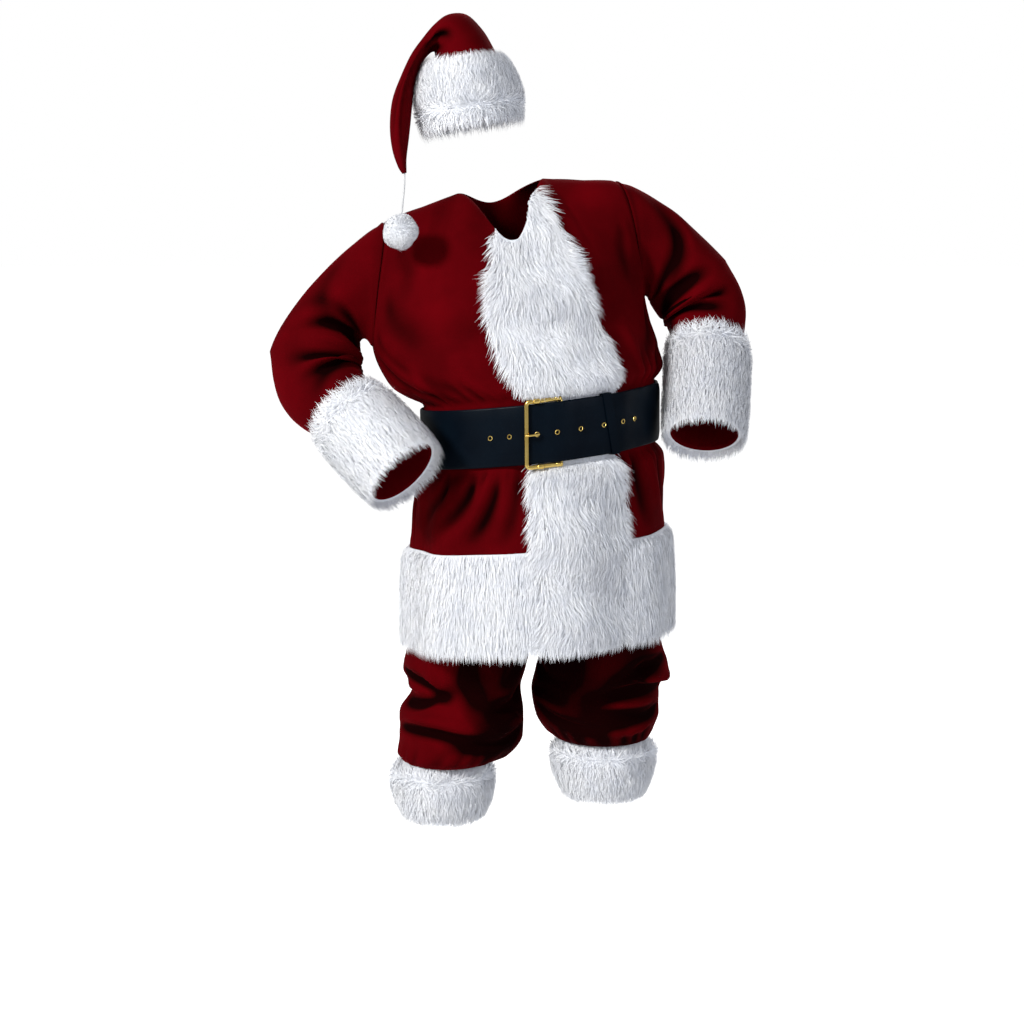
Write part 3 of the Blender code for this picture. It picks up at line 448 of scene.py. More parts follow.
LEATHER = patchy_material("belt leather", low=(0.0005, 0.0020, 0.0050), high=(0.0020, 0.0058, 0.0110),
                          cloud=14.0, grain=620.0, share=0.4, bump=0.35, distance=0.0008,
                          Roughness=0.40, Specular_IOR_Level=0.05, Coat_Weight=0.02,
                          Coat_Roughness=0.25)
BRASS = patchy_material("buckle brass", low=(0.74, 0.50, 0.12), high=(0.88, 0.66, 0.22),
                        cloud=30.0, grain=500.0, share=0.3, bump=0.05, distance=0.0004,
                        Roughness=0.24, Metallic=1.0)
CORD = patchy_material("white cord", low=(0.46, 0.46, 0.48), high=(0.70, 0.70, 0.70),
                       cloud=40.0, grain=900.0, share=0.6, bump=0.4, distance=0.0005, Roughness=0.85)
print("materials:", [m.name for m in (VELVET, FUR, PILE, LEATHER, BRASS, CORD)])

# %% [markdown]
# ## Camera, floor and light
# A costume is sold from a plain white studio shot: one strong light from the front and side, a weaker
# and wider one opposite, one from behind, and a pale floor. The camera stands at shoulder height with
# a long lens, tipped down a little.

# %% Backdrop
ROOM_LIGHT = 0.33         # light from all round; the backdrop itself looks white
scene = bpy.context.scene
scene.view_settings.view_transform = "Standard"
world = bpy.data.worlds.new("studio")
scene.world = world
world.use_nodes = True
sky_nodes, sky_links = world.node_tree.nodes, world.node_tree.links
sky_path = sky_nodes.new("ShaderNodeLightPath")
sky_level = set_inputs(sky_nodes.new("ShaderNodeMapRange"), To_Min=ROOM_LIGHT, To_Max=1.0)
sky_links.new(sky_path.outputs["Is Camera Ray"], sky_level.inputs["Value"])
sky_links.new(sky_level.outputs["Result"], sky_nodes["Background"].inputs["Strength"])
set_inputs(sky_nodes["Background"], Color=(1.0, 1.0, 1.0, 1))

# %% Floor
FLOOR = -1.50
FLOOR_REACH = 60.0
FLOOR_GLOW = 0.80         # seen by the camera only, so that the floor runs into the backdrop
floor_mesh = bpy.data.meshes.new("floor")
floor_mesh.from_pydata([(x * FLOOR_REACH, y * FLOOR_REACH, FLOOR)
                        for x, y in ((-1, -1), (1, -1), (1, 1), (-1, 1))], [], [(0, 1, 2, 3)])
floor = bpy.data.objects.new("floor", floor_mesh)
scene.collection.objects.link(floor)
pale = bpy.data.materials.new("pale floor")
pale.use_nodes = True
pale_nodes, pale_links = pale.node_tree.nodes, pale.node_tree.links
pale_shader = set_inputs(pale_nodes["Principled BSDF"], Base_Color=(0.80, 0.80, 0.80, 1),
                         Roughness=0.95, Emission_Color=(1.0, 1.0, 1.0, 1))
pale_path = pale_nodes.new("ShaderNodeLightPath")
pale_level = pale_nodes.new("ShaderNodeMath")
pale_level.operation = "MULTIPLY"
pale_level.inputs[1].default_value = FLOOR_GLOW
pale_links.new(pale_path.outputs["Is Camera Ray"], pale_level.inputs[0])
pale_links.new(pale_level.outputs["Value"], pale_shader.inputs["Emission Strength"])
floor_mesh.materials.append(pale)

# %% Lamps and camera
def area_light(name, place, target, size, power, colour=(1, 1, 1)):
    data = bpy.data.lights.new(name, "AREA")
    data.shape = "DISK"
    data.size = size
    data.energy = power
    data.color = colour
    lamp = bpy.data.objects.new(name, data)
    lamp.location = place
    lamp.rotation_euler = (Vector(target) - Vector(place)).to_track_quat("-Z", "Y").to_euler()
    scene.collection.objects.link(lamp)


area_light("key", (-2.7, -2.6, 1.6), (0.05, 0, -0.30), 0.9, 170.0, (1.0, 1.0, 0.99))
area_light("fill", (2.6, -3.0, 0.6), (0.05, 0, -0.4), 1.6, 34.0, (0.78, 0.85, 1.0))
area_light("back", (1.2, 3.0, 1.8), (0.05, 0, -0.4), 1.6, 50.0)

camera_data = bpy.data.cameras.new("camera")
camera_data.lens = 71.02
camera_data.sensor_width = 36.0
camera = bpy.data.objects.new("camera", camera_data)
camera.location = (0.036, -3.8, -0.05)
camera.rotation_euler = (math.radians(90.0 - 8.2), 0.0, 0.0)
scene.collection.objects.link(camera)
scene.camera = camera

# %% [markdown]
# ## The hat's cord and pompom
# The cord is a short white twist sewn into the point of the cap. It leaves the point straight down,
# hangs under the pompom's weight and ends in the ball, which rests on the right shoulder. 85 mm of
# it show, and the last 12 mm are sewn into the ball.

# %% Cord
CORD_ROUTE = ((-0.1577, -0.1064, 0.0352), (-0.1577, -0.1180, 0.0120),
              (-0.1595, -0.1330, -0.0140), (-0.1612, -0.1465, -0.0400))
CORD_IN_BALL = (-0.1617, -0.1517, -0.0511)   # the sewn end, hidden in the pompom
CORD_DIAMETER = 0.003
POMPOM_CENTRE = (-0.1630, -0.1600, -0.0690)
POMPOM_RADIUS = 0.0315
route = [np.array(point) for point in (*CORD_ROUTE, CORD_IN_BALL)]


PLY_DEPTH = 0.14          # how deep the grooves between the plies are, as a share of the radius


def twisted_cord(name, path, radius, plies, turns):
    """A rope of a few plies: the ring's radius swells once for each ply, and the plies wind along."""
    tangent = unit(np.gradient(path, axis=0))
    side = unit(np.cross(tangent, [0.0, 1.0, 0.2]))
    other = np.cross(tangent, side)
    angle = even_turns(plies * 4)
    rings = []
    for k, centre in enumerate(path):
        wind = turns * 2 * np.pi * k / (len(path) - 1)
        swell = radius * (1.0 - PLY_DEPTH + PLY_DEPTH * np.abs(np.cos(plies * (angle - wind) / 2)))
        rings.append(centre + swell[:, None] * oval_points(angle, side[k], other[k]))
    return tube(name, rings, False, CORD)


cord_fine = np.array([curve_point(route, k / 72) for k in range(73)])
hat_cord = twisted_cord("hat_cord_twist", cord_fine, CORD_DIAMETER / 2, 3, 11.0)

# %% [markdown]
# ## Growing fur
# Plush is a knitted backing with a dense short pile and long guard hairs combed one way. The dense
# pile is one soft layer; the guard hairs are grown on it by a node tree that scatters points, turns
# one tapered strand at each along a combing direction stored on the surface, and gathers them in
# locks with a slow noise. One tree serves every band, each with its own length, spread and seed.

# %% One strand
STRAND_X = (0.0, 0.38, 1.0)
STRAND_Z = (0.0, 0.92, 0.80)
STRAND_HALF = (0.5, 0.42, 0.0)


def strand_mesh():
    """A tapered blade, root at the origin, rising along Z and bending over along X; 3 triangles."""
    vertices = []
    for x, z, half in zip(STRAND_X[:-1], STRAND_Z, STRAND_HALF):
        vertices += [(x, -half, z), (x, half, z)]
    vertices.append((STRAND_X[-1], 0.0, STRAND_Z[-1]))
    faces = [(0, 2, 3, 1), (2, 4, 3)]
    mesh = bpy.data.meshes.new("strand")
    mesh.from_pydata(vertices, [], faces)
    mesh.polygons.foreach_set("use_smooth", np.ones(len(faces), bool))
    return bpy.data.objects.new("strand", mesh)


STRAND = strand_mesh()

# %% The fur tree
FUR_INPUTS = (
    ("Geometry", "NodeSocketGeometry", None), ("Strand", "NodeSocketObject", None),
    ("Density", "NodeSocketFloat", 1000.0), ("Length", "NodeSocketFloat", 0.035),
    ("Width", "NodeSocketFloat", 0.0016), ("Rise", "NodeSocketFloat", 0.012),
    ("Lock Scale", "NodeSocketFloat", 30.0), ("Lock Pull", "NodeSocketFloat", 0.8),
    ("Stray", "NodeSocketFloat", 0.3), ("Seed", "NodeSocketInt", 1),
    ("Material", "NodeSocketMaterial", None),
)


def fur_tree():
    tree = bpy.data.node_groups.new("fur", "GeometryNodeTree")
    for label, kind, value in FUR_INPUTS:
        socket = tree.interface.new_socket(label, in_out="INPUT", socket_type=kind)
        if value is not None:
            socket.default_value = value
    tree.interface.new_socket("Geometry", in_out="OUTPUT", socket_type="NodeSocketGeometry")
    nodes, links = tree.nodes, tree.links
    start, end = nodes.new("NodeGroupInput"), nodes.new("NodeGroupOutput")

    def named(label, kind):
        node = nodes.new("GeometryNodeInputNamedAttribute")
        node.data_type = kind
        node.inputs["Name"].default_value = label
        return node.outputs["Attribute"]

    def maths(operation, *values, vector=False):
        node = nodes.new("ShaderNodeVectorMath" if vector else "ShaderNodeMath")
        node.operation = operation
        slots = list(node.inputs)
        if operation == "SCALE":
            slots = [node.inputs["Vector"], node.inputs["Scale"]]
        for slot, value in zip(slots, values):
            if isinstance(value, bpy.types.NodeSocket):
                links.new(value, slot)
            else:
                slot.default_value = value
        return node.outputs["Vector" if vector else "Value"]

    def chance(low, high, offset, kind="FLOAT"):
        node = nodes.new("FunctionNodeRandomValue")
        node.data_type = kind
        place = 0 if kind == "FLOAT_VECTOR" else 2
        node.inputs[place].default_value = low
        node.inputs[place + 1].default_value = high
        links.new(maths("ADD", start.outputs["Seed"], offset), node.inputs["Seed"])
        return node.outputs[0 if kind == "FLOAT_VECTOR" else 1]

    scatter = nodes.new("GeometryNodeDistributePointsOnFaces")
    links.new(start.outputs["Geometry"], scatter.inputs["Mesh"])
    links.new(maths("MULTIPLY", start.outputs["Density"], named("cover", "FLOAT")), scatter.inputs["Density"])
    links.new(start.outputs["Seed"], scatter.inputs["Seed"])

    noise = nodes.new("ShaderNodeTexNoise")
    noise.inputs["Detail"].default_value = 1.5
    links.new(nodes.new("GeometryNodeInputPosition").outputs[0], noise.inputs["Vector"])
    links.new(start.outputs["Lock Scale"], noise.inputs["Scale"])
    swirl = maths("SUBTRACT", noise.outputs["Color"], (0.5, 0.5, 0.5), vector=True)
    swirl = maths("SCALE", swirl, maths("MULTIPLY", start.outputs["Lock Pull"], 2.5), vector=True)
    stray = chance((-1, -1, -1), (1, 1, 1), 3, "FLOAT_VECTOR")
    stray = maths("SCALE", stray, start.outputs["Stray"], vector=True)
    combed = maths("ADD", named("comb", "FLOAT_VECTOR"), swirl, vector=True)
    combed = maths("ADD", combed, stray, vector=True)

    upright = nodes.new("FunctionNodeAlignRotationToVector")
    upright.axis = "Z"
    links.new(scatter.outputs["Normal"], upright.inputs["Vector"])
    turned = nodes.new("FunctionNodeAlignRotationToVector")
    turned.axis = "X"
    turned.pivot_axis = "Z"
    links.new(upright.outputs["Rotation"], turned.inputs["Rotation"])
    links.new(combed, turned.inputs["Vector"])

    size = nodes.new("ShaderNodeCombineXYZ")
    length = maths("MULTIPLY", start.outputs["Length"], chance(0.60, 1.12, 5))
    length = maths("MULTIPLY", length, named("fluff", "FLOAT"))
    links.new(length, size.inputs["X"])
    links.new(maths("MULTIPLY", start.outputs["Width"], chance(0.45, 1.9, 7)), size.inputs["Y"])
    rise = maths("MULTIPLY", start.outputs["Rise"], chance(0.45, 1.25, 9))
    links.new(maths("MULTIPLY", rise, named("stand", "FLOAT")), size.inputs["Z"])

    grown = nodes.new("GeometryNodeInstanceOnPoints")
    links.new(scatter.outputs["Points"], grown.inputs["Points"])
    blade = nodes.new("GeometryNodeObjectInfo")
    links.new(start.outputs["Strand"], blade.inputs["Object"])
    links.new(blade.outputs["Geometry"], grown.inputs["Instance"])
    links.new(turned.outputs["Rotation"], grown.inputs["Rotation"])
    links.new(size.outputs["Vector"], grown.inputs["Scale"])
    twist = nodes.new("GeometryNodeRotateInstances")
    links.new(grown.outputs["Instances"], twist.inputs["Instances"])
    links.new(chance((-0.35, -0.12, -0.1), (0.35, 0.12, 0.1), 11, "FLOAT_VECTOR"), twist.inputs["Rotation"])
    real = nodes.new("GeometryNodeRealizeInstances")
    links.new(twist.outputs["Instances"], real.inputs["Geometry"])
    paint = nodes.new("GeometryNodeSetMaterial")
    links.new(real.outputs["Geometry"], paint.inputs["Geometry"])
    links.new(start.outputs["Material"], paint.inputs["Material"])
    links.new(paint.outputs["Geometry"], end.inputs["Geometry"])
    return tree


FUR_TREE = fur_tree()

# %% Growing strands on a base
def write_attribute(mesh, label, kind, values):
    attribute = mesh.attributes.new(label, kind, "POINT")
    attribute.data.foreach_set("vector" if kind == "FLOAT_VECTOR" else "value",
                               np.ascontiguousarray(values, dtype=np.float32).ravel())


def grow(name, points, wraps, away_from, comb, seed, density, length, width=0.0010, rise=0.0120,
         cover=1.0, fluff=1.0, stand=1.0, lock_scale=30.0, lock_pull=0.3, stray=0.3):
    """Strands on a grid of points; comb, cover, fluff and stand may vary over the grid."""
    shape = points.shape[:2]
    _, faces = grid_quads(*shape, wraps)
    normals = outward(points, wraps, away_from)
    first = points.reshape(-1, 3)[faces]
    facing = np.cross(first[:, 1] - first[:, 0], first[:, 2] - first[:, 0])
    if np.einsum("ij,ij->i", facing, normals.reshape(-1, 3)[faces[:, 0]]).mean() < 0:
        faces = faces[:, ::-1]
    mesh = bpy.data.meshes.new(name)
    mesh.from_pydata(points.reshape(-1, 3).tolist(), [], faces.tolist())
    write_attribute(mesh, "comb", "FLOAT_VECTOR", np.broadcast_to(comb, (*shape, 3)))
    for label, values in (("cover", cover), ("fluff", fluff), ("stand", stand)):
        write_attribute(mesh, label, "FLOAT", np.broadcast_to(values, shape))
    bed = bpy.data.objects.new(name + " bed", mesh)
    scene.collection.objects.link(bed)
    modifier = bed.modifiers.new("fur", "NODES")
    modifier.node_group = FUR_TREE
    values = {"Strand": STRAND, "Density": density, "Length": length, "Width": width, "Rise": rise,
              "Lock Scale": lock_scale, "Lock Pull": lock_pull, "Stray": stray, "Seed": seed,
              "Material": FUR}
    for item in FUR_TREE.interface.items_tree:
        if item.in_out == "INPUT" and item.name in values:
            modifier[item.identifier] = values[item.name]
    graph = bpy.context.evaluated_depsgraph_get()
    strands = bpy.data.meshes.new_from_object(bed.evaluated_get(graph))
    bpy.data.objects.remove(bed)
    for label in ("comb", "cover", "fluff", "stand"):
        if label in strands.attributes:
            strands.attributes.remove(strands.attributes[label])
    thing = bpy.data.objects.new(name, strands)
    scene.collection.objects.link(thing)
    print(name, "triangles:", sum(len(p.vertices) - 2 for p in strands.polygons))
    return stands_for(thing)

# %% [markdown]
# ## The jacket's three panels
# Two fronts and a back, sewn at the sides and shoulders. The belt gathers them: the cloth blouses
# over it and spreads below it in small uneven pleats. At the armholes the seam draws a soft valley.

# %% Folds of the jacket
METRES_A_DEGREE = 0.0041
JACKET_FOLDS = (
    # right front (negative across), chest: long pulls from the armpit towards the belt
    Fold(-0.330, -0.215, -0.150, -0.345, 0.020, 0.016, -0.0060),
    Fold(-0.340, -0.255, -0.205, -0.362, 0.014, 0.013, -0.0055),
    Fold(-0.300, -0.165, -0.170, -0.240, 0.012, 0.020, -0.0040),
    Fold(-0.315, -0.235, -0.190, -0.330, 0.016, 0.014, 0.0045),
    Fold(-0.255, -0.345, -0.235, -0.280, 0.004, 0.012, 0.0040),
    Fold(-0.120, -0.350, -0.135, -0.270, -0.006, 0.014, 0.0028),
    Fold(-0.300, -0.090, -0.215, -0.175, -0.010, 0.018, -0.0035),
    # right front, skirt: pulls that swing down from the belt
    Fold(-0.120, -0.490, -0.205, -0.625, -0.018, 0.014, -0.0075),
    Fold(-0.165, -0.488, -0.262, -0.600, -0.014, 0.015, -0.0065),
    Fold(-0.140, -0.492, -0.232, -0.630, -0.016, 0.013, 0.0060),
    Fold(-0.085, -0.492, -0.120, -0.628, -0.010, 0.012, -0.0050),
    Fold(-0.225, -0.490, -0.320, -0.580, -0.010, 0.014, -0.0060),
    Fold(-0.300, -0.490, -0.345, -0.610, 0.006, 0.015, 0.0050),
    # left front, chest and skirt
    Fold(0.335, -0.205, 0.190, -0.335, -0.020, 0.017, -0.0060),
    Fold(0.345, -0.262, 0.230, -0.362, -0.012, 0.014, -0.0055),
    Fold(0.300, -0.120, 0.225, -0.210, 0.010, 0.018, -0.0040),
    Fold(0.185, -0.350, 0.170, -0.255, 0.006, 0.013, 0.0035),
    Fold(0.160, -0.490, 0.175, -0.625, 0.008, 0.014, -0.0060),
    Fold(0.205, -0.490, 0.240, -0.600, 0.008, 0.013, 0.0055),
    Fold(0.255, -0.490, 0.300, -0.620, 0.012, 0.016, -0.0065),
    Fold(0.320, -0.490, 0.345, -0.590, -0.004, 0.014, 0.0055),
    # back: the yoke pulls between the shoulder blades, then gathers above and below the belt
    Fold(0.430, -0.120, 0.690, -0.135, 0.020, 0.028, -0.0050),
    Fold(0.400, -0.200, 0.560, -0.300, 0.022, 0.018, -0.0060),
    Fold(1.070, -0.190, 0.900, -0.305, -0.022, 0.020, -0.0065),
    Fold(0.430, -0.255, 0.530, -0.352, 0.010, 0.014, -0.0055),
    Fold(1.050, -0.265, 0.960, -0.356, -0.010, 0.015, -0.0050),
    Fold(0.610, -0.355, 0.640, -0.235, 0.010, 0.014, 0.0050),
    Fold(0.715, -0.356, 0.705, -0.205, -0.012, 0.016, -0.0050),
    Fold(0.800, -0.355, 0.770, -0.250, -0.008, 0.013, 0.0050),
    Fold(0.865, -0.355, 0.895, -0.270, 0.008, 0.014, -0.0045),
    Fold(0.450, -0.490, 0.430, -0.620, 0.008, 0.015, -0.0065),
    Fold(0.520, -0.490, 0.535, -0.600, -0.006, 0.013, 0.0060),
    Fold(0.585, -0.490, 0.560, -0.632, 0.010, 0.016, -0.0070),
    Fold(0.655, -0.490, 0.665, -0.585, 0.000, 0.012, 0.0055),
    Fold(0.730, -0.490, 0.760, -0.630, -0.010, 0.017, -0.0070),
    Fold(0.800, -0.490, 0.800, -0.600, 0.006, 0.013, 0.0055),
    Fold(0.870, -0.490, 0.915, -0.625, 0.010, 0.015, -0.0065),
    Fold(0.965, -0.490, 0.960, -0.590, -0.006, 0.014, 0.0055),
    Fold(1.035, -0.490, 1.060, -0.620, 0.006, 0.014, -0.0060),
)


def jacket_relief(turn, level):
    """Folds, belt gathers and seam valleys; nothing under the belt, the fur band or the strip."""
    across, height = turn * METRES_A_DEGREE, ARMPIT + level
    up = np.where(level > 0, ARMPIT + level * 1.15, height)
    folds = 1.2 * relief(across, up, JACKET_FOLDS) + 0.0014 * ripple(across, up, 0.060, 2.0)
    clear = off_belt(height)
    gather = np.sin(across * 150 + 2.4 * np.sin(across * 31)) + 0.6 * np.sin(across * 263 + 1.0)
    pucker = 0.0021 * gather * ramp(0.003, 0.012, clear) * ramp(0.075, 0.010, clear)
    share = np.where(np.abs(turn) <= 90, np.abs(turn), np.abs(180 - turn)) / 90.0
    share = np.where(turn > 270, 1.0, share)
    valley = -0.0030 * ramp(0.955, 1.0, share) * ramp(-0.01, 0.02, level)
    valley -= 0.0016 * ramp(0.965, 1.0, share) * (level <= 0)
    free = ramp(-0.001, 0.012, clear) * ramp(HEM_FUR_TOP - 0.004, HEM_FUR_TOP + 0.030, height)
    beside = np.where(turn > 180, turn - 360, turn)
    strip = ramp(PLACKET_RIGHT - 2.0, PLACKET_RIGHT + 3.0, beside)
    strip *= ramp(PLACKET_LEFT + 2.0, PLACKET_LEFT - 3.0, beside)
    return (folds + pucker) * free * (1.0 - strip) * (1.0 - 0.6 * ramp(0.90, 1.0, share)) + valley * free

# %% Panels
WAIST_RADIUS = 0.1345     # about the jacket's smallest, where a seam takes up most degrees
TRIM = math.degrees(SEAM / 2 / WAIST_RADIUS)


def spaced(marks, steps):
    """Values that run through the marks, a given number of even steps in each interval."""
    parts = [np.linspace(a, b, n, endpoint=False) for a, b, n in zip(marks[:-1], marks[1:], steps)]
    return np.concatenate(parts + [[marks[-1]]])


# rows stand closer where the belt gathers the cloth
LOWER_LEVELS = spaced([HEM - ARMPIT, HEM_FUR_TOP - ARMPIT, -0.505 - ARMPIT, -0.485 - ARMPIT,
                       -0.369 - ARMPIT, -0.345 - ARMPIT, -1e-6], [6, 26, 4, 8, 5, 22])
UPPER_LEVELS = np.linspace(0.0, YOKE_RISE * 0.9990, 34)[1:]
LEVELS = np.concatenate([LOWER_LEVELS, UPPER_LEVELS])


def velvet_piece(node, points, wraps, away_from, lift, painted_shade_level):
    """One layer of cloth lifted off its plain surface; the lower its painted shade level, the darker its
    colour is painted.
    """
    outer = points + outward(points, wraps, away_from) * lift[..., None]
    inner = outer - outward(outer, wraps, away_from) * CLOTH
    thing = closed_shell(node + "_cloth", outer, inner, wraps, VELVET, painted_shade_level)
    return stands_for(thing, node)


def jacket_panel(node, turns):
    turn, level = np.meshgrid(turns, LEVELS)
    lift = jacket_relief(turn, level)
    # the folds' height also sets their painted shade
    return velvet_piece(node, jacket_points(turn, level), False, spine(level), lift, lift)


front_right = jacket_panel("jacket_front_right", np.linspace(-90.0 + TRIM, -TRIM, 66))
front_left = jacket_panel("jacket_front_left", np.linspace(TRIM, 90.0 - TRIM, 66))
back = jacket_panel("jacket_back", np.linspace(90.0 + TRIM, 270.0 - TRIM, 118))

# %% [markdown]
# ## Sleeves
# Each sleeve is one tube, eased into the armhole at the top and closed along the underarm. With the
# hands on the hips the elbow bends sharply: cloth piles up inside the bend in short deep creases that
# fan out round the arm, and is drawn smooth over the outside.

# %% Sleeve surface
Station = namedtuple("Station", "x y z radius")
RIGHT_SLEEVE = (
    Station(-0.331, -0.034, -0.283, 0.085),
    Station(-0.316, -0.072, -0.352, 0.081),
    Station(-0.272, -0.112, -0.392, 0.070),
    Station(-0.217, -0.154, -0.443, 0.066),
    Station(-0.162, -0.196, -0.496, 0.068),
)
LEFT_SLEEVE = (
    Station(0.372, 0.086, -0.165, 0.083),
    Station(0.403, 0.076, -0.222, 0.079),
    Station(0.406, 0.040, -0.275, 0.068),
    Station(0.402, -0.010, -0.345, 0.061),
    Station(0.392, -0.078, -0.440, 0.063),
)
SHOULDER_HANDLE = 0.28
RISE_STEPS = 22
UPPER_RINGS = 26
LOWER_RINGS = 54
CUFF_SHARE = 5.0 / 9.0    # share of the lower sleeve that is bare above the fur cuff
CUFF_RING = UPPER_RINGS + int(LOWER_RINGS * CUFF_SHARE)

# %% Armholes and rings of the sleeves
def axis_of(rings):
    return rings.mean(axis=1, keepdims=True)


def armhole(side):
    """Points round one armhole, and the direction in which the sleeve leaves it at each."""
    rises = np.linspace(0.0, 1.0, RISE_STEPS + 1)
    rise = np.concatenate([rises, rises[-2:0:-1]])
    face = np.concatenate([-np.ones(RISE_STEPS + 1), np.ones(RISE_STEPS - 1)])
    ones = np.ones_like(rise)
    here = posed(yoke_points(side, face, ones, rise))
    up = np.clip(rise, 2e-3, 1.0)
    along = posed(yoke_points(side, face, ones, up)) - posed(yoke_points(side, face, ones, up - 2e-3))
    inward = posed(yoke_points(side, face, ones * 0.995, rise))
    normals = unit(np.cross(here - inward, along)) * (-side * face)[:, None]
    steps = unit(np.cross(np.roll(here, -1, 0) - np.roll(here, 1, 0), normals))
    waist = posed(np.array([0.0, 0.0, BELT_MIDDLE]))
    steps *= np.where(np.einsum("ij,ij->i", steps, here - waist) >= 0, 1.0, -1.0)[:, None]
    return here + steps * SEAM, steps


def sleeve_rings(side, stations):
    """Rings from the armhole to the wrist, and how far along the arm each one is."""
    loop, steps = armhole(side)
    middle = loop.mean(axis=0)
    centres = [Vector((s.x, s.y, s.z)) for s in stations]
    radii = [Vector((s.radius, 0.0, 0.0)) for s in stations]
    before = (centres[0] - Vector(middle)).normalized()
    down = Vector(loop[0] - middle)
    down = (down - before * down.dot(before)).normalized()
    forward = before.cross(down)
    spread = loop - middle
    angle = np.arctan2(spread @ np.array(forward), spread @ np.array(down))
    lower, tangents = [], []
    for k in range(LOWER_RINGS + 1):
        along = k / LOWER_RINGS
        tangent = (curve_point(centres, along + 0.02) - curve_point(centres, along - 0.02)).normalized()
        bend = before.rotation_difference(tangent)
        down, forward, before = bend @ down, bend @ forward, tangent
        radius = curve_point(radii, along).x
        ring = oval_points(angle, np.array(down), np.array(forward))
        lower.append(np.array(curve_point(centres, along)) + ring * radius)
        tangents.append(np.array(tangent))
    chord = lower[0] - loop
    length = np.linalg.norm(chord, axis=1, keepdims=True) * SHOULDER_HANDLE
    leave = unit(steps * 1.4 + unit(chord)) * length
    arrive = unit(tangents[0] + unit(chord)) * length
    upper = [bezier(loop, loop + leave, lower[0] - arrive, lower[0], k / UPPER_RINGS)
             for k in range(UPPER_RINGS)]
    rings = np.array(upper + lower)
    travel = np.linalg.norm(np.diff(rings.mean(axis=1), axis=0), axis=1)
    return rings, np.concatenate([[0.0], np.cumsum(travel)])

# %% Folds of the sleeves
# across runs round the arm from the armpit line: + to the front, - to the back; up runs down the arm
RIGHT_SLEEVE_FOLDS = (
    Fold(-0.020, 0.215, 0.150, 0.165, 0.012, 0.011, -0.0125),
    Fold(0.000, 0.240, 0.185, 0.225, -0.008, 0.010, -0.0120),
    Fold(0.010, 0.228, 0.150, 0.196, 0.004, 0.009, 0.0095),
    Fold(0.015, 0.262, 0.170, 0.275, -0.010, 0.010, -0.0100),
    Fold(0.020, 0.250, 0.160, 0.250, 0.000, 0.009, 0.0085),
    Fold(0.060, 0.300, 0.190, 0.318, 0.012, 0.012, -0.0065),
    Fold(0.020, 0.180, 0.120, 0.110, 0.012, 0.013, -0.0080),
    Fold(0.080, 0.175, 0.200, 0.120, 0.014, 0.014, -0.0050),
    Fold(0.130, 0.130, 0.210, 0.050, -0.010, 0.016, -0.0045),
    Fold(-0.015, 0.232, -0.160, 0.200, 0.010, 0.011, -0.0110),
    Fold(-0.010, 0.255, -0.180, 0.262, -0.008, 0.011, -0.0095),
    Fold(-0.020, 0.244, -0.150, 0.230, 0.004, 0.010, 0.0080),
    Fold(-0.030, 0.180, -0.140, 0.125, 0.010, 0.014, -0.0070),
    Fold(-0.090, 0.120, -0.200, 0.060, 0.012, 0.017, -0.0050),
)
LEFT_SLEEVE_FOLDS = (
    Fold(-0.010, 0.195, 0.150, 0.160, 0.010, 0.011, -0.0120),
    Fold(0.000, 0.215, 0.180, 0.210, -0.010, 0.010, -0.0115),
    Fold(0.010, 0.205, 0.140, 0.185, 0.004, 0.009, 0.0090),
    Fold(0.015, 0.238, 0.160, 0.255, -0.008, 0.010, -0.0090),
    Fold(0.010, 0.160, 0.130, 0.095, 0.014, 0.013, -0.0085),
    Fold(0.070, 0.150, 0.200, 0.085, 0.012, 0.014, -0.0060),
    Fold(0.120, 0.100, 0.215, 0.020, -0.012, 0.015, -0.0055),
    Fold(0.150, 0.120, 0.225, 0.060, -0.006, 0.012, 0.0040),
    Fold(-0.010, 0.205, -0.150, 0.178, 0.010, 0.011, -0.0110),
    Fold(-0.010, 0.228, -0.170, 0.235, -0.008, 0.011, -0.0090),
    Fold(-0.020, 0.216, -0.140, 0.205, 0.004, 0.010, 0.0080),
    Fold(-0.030, 0.150, -0.140, 0.090, 0.010, 0.014, -0.0065),
)
SLEEVE_GIRTH = 0.50

# %% Two sleeves
def smooth_rings(values, times):
    """Even out the values round each ring."""
    for _ in range(times):
        values = (np.roll(values, 1, 1) + 2 * values + np.roll(values, -1, 1)) / 4
    return values


def make_sleeve(name, side, stations, folds, seed):
    rings, travel = sleeve_rings(side, stations)
    columns = rings.shape[1]
    around = np.arange(columns) / columns
    around = np.where(around > 0.5, around - 1.0, around) * SLEEVE_GIRTH
    across, along = np.meshgrid(around, travel)
    cuff_start = travel[CUFF_RING]
    bare = ramp(0.0, 0.035, along) * ramp(cuff_start + 0.004, cuff_start - 0.028, along)
    lift = 1.3 * relief(across, along, folds) + 0.0014 * ripple(across, along, 0.050, seed)
    valley = -0.0026 * ramp(0.016, 0.0, along) * ramp(-0.0005, 0.002, along)
    lift = smooth_rings(lift * bare + valley, 2)
    print(name, "length:", round(travel[-1], 3))
    # the folds' height also sets their painted shade
    return velvet_piece(name, rings, True, axis_of(rings), lift, lift), rings


sleeve_right, right_rings = make_sleeve("sleeve_right", -1.0, RIGHT_SLEEVE, RIGHT_SLEEVE_FOLDS, 1.0)
sleeve_left, left_rings = make_sleeve("sleeve_left", 1.0, LEFT_SLEEVE, LEFT_SLEEVE_FOLDS, 3.0)

# %% [markdown]
# ## Fur cuffs
# A cuff is a straight strip of plush sewn into a ring and slipped over the sleeve's end. The pile is
# combed towards the hand, so the hairs at the free edge stand past it and those at the upper edge
# fluff back over the velvet.

# %% Pile layers
ROOT_SHARE = 0.75         # how deep in the pile the strands' roots sit


